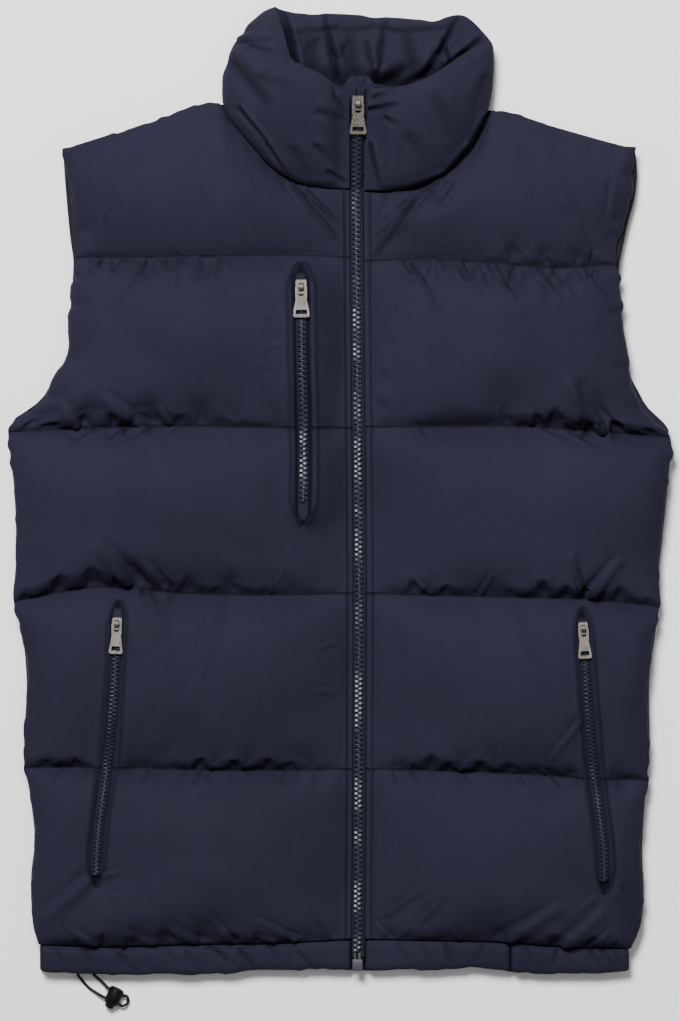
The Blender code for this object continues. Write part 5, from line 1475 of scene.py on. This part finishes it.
# %% [markdown]
# ## Storm flap
#
# A flap of plain cloth lies behind the zip. Only its top shows, in the collar's mouth, where
# it is pulled into slanting folds. It lies against the zip and hardly hangs, so it is laid
# along the zip's slope by formula, not draped, and its folds are four creases.

# %% Build the storm flap
FLAP_Y = (272.0, 355.0)
FLAP_HALF = 14.5
FLAP_THICK = 1.3
FLAP_TURN = 13.0          # length over which its top rounds off and turns down
FLAP_CREASES = (
    # start x, y, end x, y, half width, depth
    (0, 358, 4, 342, 2.0, 1.8), (12, 358, 17, 346, 1.8, 1.8), (24, 358, 20, 346, 1.8, 1.6),
    (31, 352, 28, 340, 2.0, 1.6),
)


def zip_lift(y):
    """Height of the main zip's tape: flat down the body and rising up the collar."""
    return FRONT_FLOOR + 1.4 + 0.285 * np.maximum(0, np.asarray(y) - NECK_Y)


def build_flap():
    """A thin sheet that follows the zip's slope and turns down at its rounded top."""
    y = np.linspace(*FLAP_Y, 60)[:, None]
    past = np.maximum(0.0, 1 - (FLAP_Y[1] - y) / FLAP_TURN)
    x = zip_x(y) + (FLAP_HALF - 8.0 * past**2) * np.linspace(-1, 1, 41)
    y = y + 0 * x
    height, crease_shade = press_creases(FLAP_CREASES, x, y)
    top = zip_lift(y) - 2.6 - 2.0 * past**2
    top = top + 0.7 * height + 0.15 * unevenness(8.0, 100, x, y) - 0.2
    upper = np.stack([x, y, top], -1)
    lower = upper - np.array([0, 0, FLAP_THICK])
    loops = np.concatenate([upper, lower[:, ::-1]], axis=1)
    piece = closed_piece("flap_behind_zip", loops, SHELL)
    # Painted shade in the flap's creases, on its top face only.
    paint_crack_shade(piece, np.concatenate([crease_shade, 0 * crease_shade], axis=1))
    dress(piece, "shell", "storm_flap")


build_flap()
print("storm flap behind the zip")

# %% [markdown]
# ## Hem bands
#
# The hem is a folded channel of shell cloth with the drawcord inside, so it is slack and
# ripples. The front's bands stop short of the back's, whose lower edge shows below them. A
# simulation would ripple all of it alike, but the photo shows single wrinkles where the cord
# pulls. So each band is a row of rounded sections that waver, with those wrinkles as creases.

# %% Build the hem bands
HEM_BANDS = (
    # name, first and last x, sections, rise of its lower edge over the back's, lowest, highest z
    ("hem_front_right", 9.2, -258.0, 166, 2.2, 11.8, 22.4),
    ("hem_front_left", 22.0, 146.2, 77, 2.2, 11.8, 22.4),
    ("hem_side_left", 147.2, 248.5, 63, 2.2, 11.8, 22.4),
    ("hem_back", -259.0, 249.0, 300, 0.0, 0.0, 11.4),
)
HEM_LOW = (
    # x, y of the back's lower edge, which hangs lowest at the two sides
    (-259, -415.0), (-225, -416.0), (-150, -416.6), (-110, -416.2), (-88, -414.8), (-60, -412.9),
    (0, -412.9), (70, -413.0), (135, -412.8), (147, -414.8), (200, -415.8), (249, -415.0),
)
HEM_CREASES = (
    # start x, y, end x, y, half width, depth
    (-112, -391, -93, -405, 2.6, 3.4), (-86, -394, -74, -409, 2.4, 3.2),
    (-190, -398, -177, -411, 2.6, 2.4), (-35, -396, -24, -408, 2.4, 2.2),
    (-222, -392, -212, -406, 2.6, 1.8), (-150, -392, -141, -404, 2.6, 1.8),
    (-62, -391, -52, -401, 2.2, 1.6), (-131, -396, -124, -408, 2.2, 1.6),
    (-244, -394, -238, -406, 2.2, 1.6), (91, -390, 97, -404, 2.4, 2.2),
    (124, -390, 117, -402, 2.6, 1.8), (50, -389, 58, -402, 2.6, 1.8),
    (187, -394, 182, -408, 2.6, 2.4), (216, -394, 223, -408, 2.6, 2.6),
    (226, -395, 233, -406, 2.2, 1.8), (160, -393, 166, -405, 2.6, 1.8),
    (72, -392, 78, -404, 2.2, 1.5), (238, -396, 242, -406, 2.2, 1.5),
)
BAND_AROUND = 40          # points around a band's section, and millimetres between them
BAND_STEP = 1.6
STITCHED_RING = 6         # point around the band's section where its stitched groove lies


def band_loops(x, rise, low_z, high_z):
    """Closed sections of a slack folded band: a rounded box, wavy along its length."""
    turn = np.linspace(0, 2 * math.pi, BAND_AROUND, endpoint=False)
    c, s = np.cos(turn), np.sin(turn)
    ry, rz = np.sign(c) * np.abs(c) ** 0.55, np.sign(s) * np.abs(s) ** 0.75
    top_y, low_y = (hem_seam_y(x) - 0.7)[:, None], (curve_at(HEM_LOW, x) + rise)[:, None]
    wave = (0.8 * unevenness(19.0, 110, x) + 0.5 * unevenness(7.0, 113, x))[:, None]
    to_end = np.minimum(np.abs(x - x[0]), np.abs(x - x[-1]))[:, None]
    half_y = (top_y - low_y) / 2 * (1 - 0.16 * (1 - edge_rise(to_end, 7.0)))
    half_z = (high_z - low_z) / 2 * (0.35 + 0.65 * edge_rise(to_end, 8.0))
    y = (top_y + low_y) / 2 + half_y * ry + wave * np.clip(-ry, 0, 1)
    z = (low_z + high_z) / 2 + half_z * rz * (0.86 + 0.14 * ry)
    x = x[:, None] + 0 * y
    up = np.clip(rz, 0, None)
    ripple = 0.9 * unevenness(8.0, 111, x, y * 0.4) + 0.9 * unevenness(22.0, 112, x, y * 0.3)
    stitch = -0.9 * bell(y - top_y + 3.0, 1.1)
    height, crease_shade = press_creases(HEM_CREASES, x, y)
    z = np.maximum(z + up * (height + ripple + stitch), low_z)
    # The fourth value is painted shade in the band's creases, on its upper face.
    return np.stack([x, y, z, up * crease_shade], -1)


hem_lines = []
for name, first_x, last_x, sections, rise, low_z, high_z in HEM_BANDS:
    loops = band_loops(np.linspace(first_x, last_x, sections), rise, low_z, high_z)
    around = np.arange(BAND_AROUND) * BAND_STEP
    piece = closed_piece("band_" + name, loops[..., :3], SHELL, pairs_of(loops[..., 0], around))
    # Painted shade in the band's creases.
    paint_crack_shade(piece, loops[..., 3])
    dress(piece, "shell", name)
    if name != "hem_back":
        hem_lines.append(loops[3:-3, STITCHED_RING, :3])
print("four hem bands")

# %% [markdown]
# ## Stitching
#
# Every quilt line, placket, pocket and hem is held by a lockstitch. A dashed line painted on
# the cloth would show it from afar, but has no thickness to catch the light. Each stitch is a
# short thick thread lying in its groove, so it is modelled as a small spindle with five sides.
# The rows of the front's own grid run along the quilt lines, and its columns along the placket
# and the pockets, so the needle simply follows them.

# %% Sew
STITCH_PITCH = 3.1
STITCH_LONG = 2.3
STITCH_THICK = 0.46
SPINDLE = ((-0.5, 0.22), (0.0, 0.5), (0.5, 0.22))    # shares of its length and of its thickness
SPINDLE_SIDES = 5


def stitch_centres(line):
    """Middles and directions of the stitches along a line of points."""
    places = np.arange(STITCH_PITCH, run_of(line)[-1] - STITCH_PITCH / 2, STITCH_PITCH)
    half = STITCH_LONG / 2
    along = points_at(line, places + half) - points_at(line, places - half)
    return points_at(line, places), unit(along)


def sew(name, lines):
    """All the stitches of some lines as one mesh of spindles, pointed at both ends."""
    centre, along = (np.concatenate(part) for part in zip(*map(stitch_centres, lines)))
    across, up = sideways(along)
    turn = np.linspace(0, 2 * math.pi, SPINDLE_SIDES, endpoint=False)
    local = np.array([(a * STITCH_LONG, r * math.cos(t), r * math.sin(t))
                      for a, r in SPINDLE for t in turn])
    local[:, 1:] *= STITCH_THICK
    verts = centre[:, None] + sum(
        axis[:, None] * local[:, k, None] for k, axis in enumerate((along, across, up)))
    one = np.array(stack_faces(len(SPINDLE), SPINDLE_SIDES), dtype=object)
    faces = [[k + len(local) * n for k in face] for n in range(len(centre)) for face in one]
    verts = verts.reshape(-1, 3)
    dress(point_out(make_piece(name, verts, faces, THREAD, verts[:, :2])), "shell")
    print(name, len(centre), "stitches")


def front_lines(side):
    """Lines of points on a front for its quilt lines, its placket and its pocket lips."""
    grid = front_grids[side]
    steps = sum(([plain, 2, 4, 2] for plain in PLAIN_STEPS[side][:-1]), [0, 2, 1])
    column = FINER * np.cumsum(steps)
    low_y = grid[-1, 0, 1]
    lines = [grid[row, 8:-6] for row in FINER * np.cumsum(ROWS_IN_CHANNEL)[:-1]]
    lines.append(grid[3:-3, column[1]])
    for k, (line, *_) in enumerate(POCKETS[side]):
        for edge in (column[3 + 4 * k] - 1, column[6 + 4 * k] + 1):
            y = grid[:, edge, 1]
            lines.append(grid[(y < line[0][0] - 2) & (y > max(line[-1][0], low_y) + 2), edge])
    return lines


for side in HAND:
    sew("stitches_" + side, front_lines(side))
sew("stitches_hem", hem_lines)

# %% [markdown]
# ## Zips
#
# A moulded zip is two woven tapes with separate plastic teeth. A bump pattern on a strip would
# do from afar, but each tooth catches the light on its own. So one tooth is modelled with a
# few dozen faces, and copies of it are set along the zip's own line, left and right in turn.
# All the copies on one zip are one mesh.
#
# Where the padding swells, the zip tips with it, and its teeth turn their tops to the light or
# away from it. That gives the bright and dull stretches down the zip, and here each tooth is
# tipped by a table. The teeth under a pull tab are pressed a little into the vest by it.
#
# At the very bottom the two tapes end in a pin and a post, which part when the zip is undone.
# Their ends show just over the box as two plain bars.

# %% Tooth and tape helpers


def path_frames(points, places):
    """Points, directions along, across and up at distances along a path of points."""
    step = 1.5
    along = unit(points_at(points, places + step) - points_at(points, places - step))
    return (points_at(points, places), along, *sideways(along))


def tooth_shape(reach, pitch, height):
    """One tooth as stacked outlines: a stem over the tape and a rounded head past the middle."""
    side = ((1.0, 0.75), (0.45, 0.8), (0.12, 1.0), (-0.16, 0.95), (-0.30, 0.45))
    outline = np.array([(1.0, -0.75), *side, *((x, -y) for x, y in side[:0:-1])])
    outline = outline * (reach, pitch * 0.40)
    middle = outline.mean(axis=0)
    levels = ((0.0, 1.0), (height * 0.65, 1.0), (height * 0.92, 0.92), (height, 0.74))
    rings = [np.column_stack([middle + (outline - middle) * grow, np.full(len(outline), z)])
             for z, grow in levels]
    return np.vstack(rings), stack_faces(len(levels), len(outline))


PRESSED = 0.9             # how far a pull tab presses the teeth under it into the pocket


def build_teeth(name, points, sizes, lean, pull_low=None):
    """Teeth along a path, from tape to tape in turn, each tipped up the path by its lean.

    Those above pull_low lie under the pull tab, and are pressed down clear of it.
    """
    reach, pitch, height, tape_top = sizes
    length = gaps_of(points).sum()
    shape, shape_faces = tooth_shape(reach, pitch, height)
    verts, faces = [], []
    for hand in (-1, 1):
        places = np.arange(pitch * (0.5 if hand < 0 else 1.0), length - pitch * 0.3, pitch)
        at, along, across, up = path_frames(points, places)
        if pull_low is not None:
            at[:, 2] -= PRESSED * ease(at[:, 1], pull_low - 5.0, pull_low)
        tip = curve_at(lean, at[:, 1]) + 4.0 * unevenness(7.0, 121 + hand, at[:, 1])
        tip = np.radians(tip)[:, None]
        along, up = along * np.cos(tip) - up * np.sin(tip), up * np.cos(tip) + along * np.sin(tip)
        base = sum(len(part) for part in verts)
        placed = (at[:, None] + across[:, None] * shape[:, 0:1] * hand
                  + along[:, None] * shape[:, 1:2] + up[:, None] * (shape[:, 2:3] + tape_top))
        verts.append(placed.reshape(-1, 3))
        turned = [face[::hand] for face in shape_faces]
        starts = range(base, base + len(verts[-1]), len(shape))
        faces += [[k + start for k in face] for start in starts for face in turned]
    piece = make_piece(name, np.vstack(verts), faces, TEETH)
    piece.data.set_sharp_from_angle(angle=math.radians(28))
    return dress(point_out(piece), "zip_chain")


def build_tape(name, points, inner, outer, thick, *solids, limit=None, material=TAPE,
               slot="zip_chain"):
    """A woven strip beside a path, from one distance to another across it.

    limit gives the most that it may reach to either side at each height y.
    """
    length = gaps_of(points).sum()
    places = np.linspace(0, length, max(12, int(length / 3)))
    at, _, across, up = path_frames(points, places)
    inner, outer = np.broadcast_to(inner, places.shape), np.broadcast_to(outer, places.shape)
    if limit:
        inner, outer = np.maximum(inner, -limit(at[:, 1])), np.minimum(outer, limit(at[:, 1]))
    t = np.linspace(0, 1, 5)
    reach = inner[:, None] + (outer - inner)[:, None] * t
    low = at[:, None] + across[:, None] * reach[..., None]
    high = low + up[:, None] * (thick * (1 - 0.25 * np.abs(2 * t - 1) ** 4))[:, None]
    loops = np.concatenate([high, low[:, ::-1]], axis=1)
    uv = pairs_of(np.r_[t, t[::-1]] * 6.0, places[:, None])
    return dress(closed_piece(name, loops, material, uv), slot, *solids)


# %% Main zip
MAIN_TOOTH = (3.85, 4.2, 1.9, 0.85)     # reach, pitch, height, height of its foot
CLOSED_TO_Y = 323.0
TAPE_TOP_Y = 346.0


def main_path(low, high, count=160):
    """Points of the main zip's middle between two heights."""
    y = np.linspace(low, high, count)
    return np.column_stack([zip_x(y), y, zip_lift(y)])


TEETH_LEAN = (
    # y, degrees that the teeth tip where the padding's swell turns the zip towards its top
    (330, 4), (260, 2), (200, -2), (165, 2), (145, 9), (133, 1), (119, 9), (106, -3), (92, -4),
    (78, 8), (64, 7), (55, -1), (42, 11), (16, 13), (2, 5), (-8, 2), (-18, 11), (-28, 3),
    (-40, 11), (-54, 12), (-68, -2), (-85, -4), (-100, 8), (-114, 6), (-130, -2), (-148, 0),
    (-162, 13), (-182, 15), (-200, 12), (-214, -3), (-234, -3), (-248, 14), (-268, 17), (-283, 3),
    (-296, 17), (-310, 5), (-326, -2), (-340, 17), (-356, 18), (-370, 1), (-386, 14), (-401, 19),
)
ZIP_PINS = (
    # name, x of its middle, width
    ("post", 13.0, 1.9), ("pin", 16.7, 2.5),
)
TAPE_LOW_Y = -401.5
PIN_THICK = 1.9

build_teeth("main_teeth", main_path(-396.8, CLOSED_TO_Y), MAIN_TOOTH, TEETH_LEAN)
for side, hand in HAND.items():
    path = main_path(TAPE_LOW_Y, TAPE_TOP_Y)
    y = np.linspace(TAPE_LOW_Y, TAPE_TOP_Y, max(12, int(gaps_of(path).sum() / 3)))
    parted = 0.15 + 0.12 * np.clip(y - CLOSED_TO_Y, 0, None)
    wide = ZIP_SIDE[side] - np.where(y > NECK_Y - 1, 1.05, 0.3)
    build_tape("main_tape_" + side, path, hand * parted, hand * wide, 0.9, "main_zip_" + side)
for pin_name, pin_x, pin_wide in ZIP_PINS:
    path = main_path(-402.0, -396.6, 8) + (pin_x - float(zip_x(-400.0)), 0, 0.85)
    build_tape("zip_" + pin_name, path, -pin_wide / 2, pin_wide / 2, PIN_THICK,
               material=GREY_BOX, slot="zip_box")

# %% Pocket zips
LARGE_TOOTH = (3.85, 4.2, 1.9, 1.15)
SMALL_TOOTH = (3.2, 3.5, 1.7, 1.15)
POCKET_ZIPS = (
    # node, line, tooth, top and bottom of the teeth, top and bottom of the tape, pull's low end
    ("chest_zip", CHEST_ZIP, LARGE_TOOTH, 167.0, -10.0, 187.0, -26.0, 148.0),
    ("hand_zip_right", HAND_ZIP_RIGHT, SMALL_TOOTH, -119.0, -329.0, -100.0, -329.0, -140.0),
    ("hand_zip_left", HAND_ZIP_LEFT, SMALL_TOOTH, -123.0, -334.0, -109.0, -334.0, -144.0),
)
POCKET_TAPE_HALF = 5.1
POCKET_LEAN = (
    # y, degrees that the pocket zips' teeth tip
    (170, -6), (90, -4), (65, 4), (40, 8), (10, 2), (-10, -5), (-110, -10), (-240, -11),
    (-265, -5), (-300, -2), (-340, -8),
)


def pocket_path(line, low, high):
    """Points of a pocket zip's middle, on its trough's floor, between two heights."""
    y = np.linspace(low, high, 90)
    return np.column_stack([curve_at(line, y), y, curve_at(line, y, 2)])


def chest_mouth(y):
    """Half width of the tape that shows in the chest pocket, a little less than its mouth."""
    return pocket_widths(POCKETS["right"][0], y)[0] - 0.5


for node, line, tooth, teeth_top, teeth_low, tape_top, tape_low, pull_low in POCKET_ZIPS:
    build_teeth(node + "_teeth", pocket_path(line, teeth_low, teeth_top), tooth, POCKET_LEAN,
                pull_low)
    build_tape(node + "_tape", pocket_path(line, tape_low, tape_top), -POCKET_TAPE_HALF,
               POCKET_TAPE_HALF, 1.15, node, limit=chest_mouth if line is CHEST_ZIP else None)
print("three pocket zips")

# %% [markdown]
# ## Sliders, pulls and the box
#
# These are die-cast and moulded, and hard. They could be modelled again, but their solids
# already have the right shape, so a copy of each solid is welded and its sharp edges are
# rounded off. Rounded edges catch the light as plated metal does. Each pull keeps its own
# body, so it still swings.

# %% Round off the hard pieces
WELD = 0.02               # points closer than this are one
FLAT_WITHIN = 4           # degrees: faces this close to level are joined
BEVEL_FROM = 32           # degrees: edges sharper than this are rounded
SHARP_FROM = 38           # degrees: edges sharper than this are shaded as edges


def body_of_node(node):
    """The body that a solid belongs to in the record."""
    for body, members in frame["record"]["behaviour"]["bodies"].items():
        if node in members:
            return body
    raise ValueError(node)


def polish(node, material, bevel, slot):
    """A welded copy of a solid with its edges rounded by a bevel."""
    piece = nodes[node].copy()
    piece.data = nodes[node].data.copy()
    piece.name = node + "_fine"
    piece.parent = None
    for key in list(piece.keys()):
        del piece[key]
    bpy.context.collection.objects.link(piece)
    body = bmesh.new()
    body.from_mesh(piece.data)
    bmesh.ops.remove_doubles(body, verts=body.verts[:], dist=WELD * MM)
    bmesh.ops.dissolve_limit(body, angle_limit=math.radians(FLAT_WITHIN), verts=body.verts[:],
                             edges=body.edges[:])
    body.to_mesh(piece.data)
    body.free()
    piece.data.materials.clear()
    piece.data.materials.append(material)
    piece.data.shade_smooth()
    piece.data.set_sharp_from_angle(angle=math.radians(SHARP_FROM))
    rounded = piece.modifiers.new("rounded", "BEVEL")
    rounded.width = bevel * MM
    rounded.segments = 2
    rounded.limit_method = "ANGLE"
    rounded.angle_limit = math.radians(BEVEL_FROM)
    rounded.harden_normals = True
    return dress(piece, slot, node, body=body_of_node(node))


for zip_name, side in (("main", ""), ("chest", ""), ("hand", "_right"), ("hand", "_left")):
    polish(zip_name + "_pull" + side, METAL, 0.28, "zip_metal")
    polish(zip_name + "_slider" + side, METAL, 0.22, "zip_metal")
polish("main_zip_box", GREY_BOX, 0.15, "zip_box")
print("nine hard pieces rounded off")

# %% [markdown]
# ## Drawcord and lock
#
# The cord comes out of the hem, passes through the lock, turns back on itself in a small
# loop and goes in again. A simulated cord would settle into another loop than the photo's, so
# it follows its route, which is the same as that of the frame's three stretches. It is one
# braided cord, so it is one tube, whose surface rises and falls where strands of the braid
# cross. The lock's barrel and its button are moulded, and are rounded off as the zip's box is.

# %% Drawcord
CORD_RADIUS = 1.25
LOCK_FOOT = (-191.8, -428.7)
LOCK_AXIS = (-0.431, -0.902)
LOCK_RADIUS = 6.5
STRAND_SHORT, STRAND_LONG = 3.2, 11.9    # where the strands cross the lock, along its axis
LOOP_RADIUS = 5.0
BRAID_STRANDS = 6
BRAID_RISE = 0.035        # share of the radius by which the braid rises and falls
LONG_STRAND = (
    # x, y, z
    (-226.5, -416.6, 5.6), (-225.2, -418.8, 4.4), (-222.6, -422.6, 2.4), (-219.4, -426.4, 1.6),
    (-215.6, -429.8, 1.8), (-211.2, -432.4, 3.2), (-207.0, -434.6, 5.2),
)
SHORT_STRAND = (
    # x, y, z
    (-212.9, -416.6, 5.6), (-210.2, -419.2, 4.4), (-206.6, -422.4, 3.8), (-203.2, -425.4, 4.8),
)


def lock_point(along_axis, across_axis, z):
    """A point of the lock from its distances along and across its axis."""
    ax, ay = LOCK_AXIS
    return (LOCK_FOOT[0] + ax * along_axis - ay * across_axis,
            LOCK_FOOT[1] + ay * along_axis + ax * across_axis, z)


def drawcord_route():
    """The whole centreline: in by one strand, round the loop, and back by the other."""
    reach = LOCK_RADIUS + 0.5
    crossing = [(STRAND_LONG, -reach), (STRAND_LONG, reach), (STRAND_SHORT, reach),
                (STRAND_SHORT, -reach)]
    ends = [lock_point(*place, LOCK_RADIUS) for place in crossing]
    loop = []
    for degrees in range(75, -76, -25):
        angle = math.radians(degrees)
        sink = min(1.0, 0.55 * (1 - abs(degrees) / 90) + 0.1)
        loop.append(lock_point(
            (STRAND_LONG + STRAND_SHORT) / 2 + LOOP_RADIUS * math.sin(angle),
            8.0 + LOOP_RADIUS * math.cos(angle),
            LOCK_RADIUS - (LOCK_RADIUS - CORD_RADIUS - 0.4) * sink))
    return np.array([*LONG_STRAND, *ends[:2], *loop, *ends[2:], *SHORT_STRAND[::-1]], dtype=float)


def build_cord():
    """A mesh tube along the route, with its UV map running along and around the braid."""
    route = through_rows(drawcord_route(), 150)
    length = float(run_of(route)[-1])
    even = np.linspace(0, length, 220)
    centre = points_at(route, even)
    across, up = sideways(unit(np.gradient(centre, axis=0)))
    turn = np.linspace(0, 2 * math.pi, 14, endpoint=False)
    around, down = BRAID_STRANDS * turn, even[:, None] * 3.0
    braid = 1 + BRAID_RISE * np.sin(around + down) * np.sin(around - down)
    ring = CORD_RADIUS * braid[..., None] * (
        np.cos(turn)[:, None] * across[:, None] + np.sin(turn)[:, None] * up[:, None])
    uv = pairs_of(turn * CORD_RADIUS, even[:, None])
    piece = closed_piece("drawcord", centre[:, None] + ring, CORD, uv)
    dress(piece, "drawcord", "drawcord_strand_long", "drawcord_strand_short", "drawcord_loop")
    return piece, centre, length


drawcord, cord_line, cord_length = build_cord()
lock_pieces = [polish("cord_lock_" + part, BLACK_LOCK, 0.3, "cord_lock")
               for part in ("body", "button")]
print("drawcord", round(cord_length, 1), "mm long")
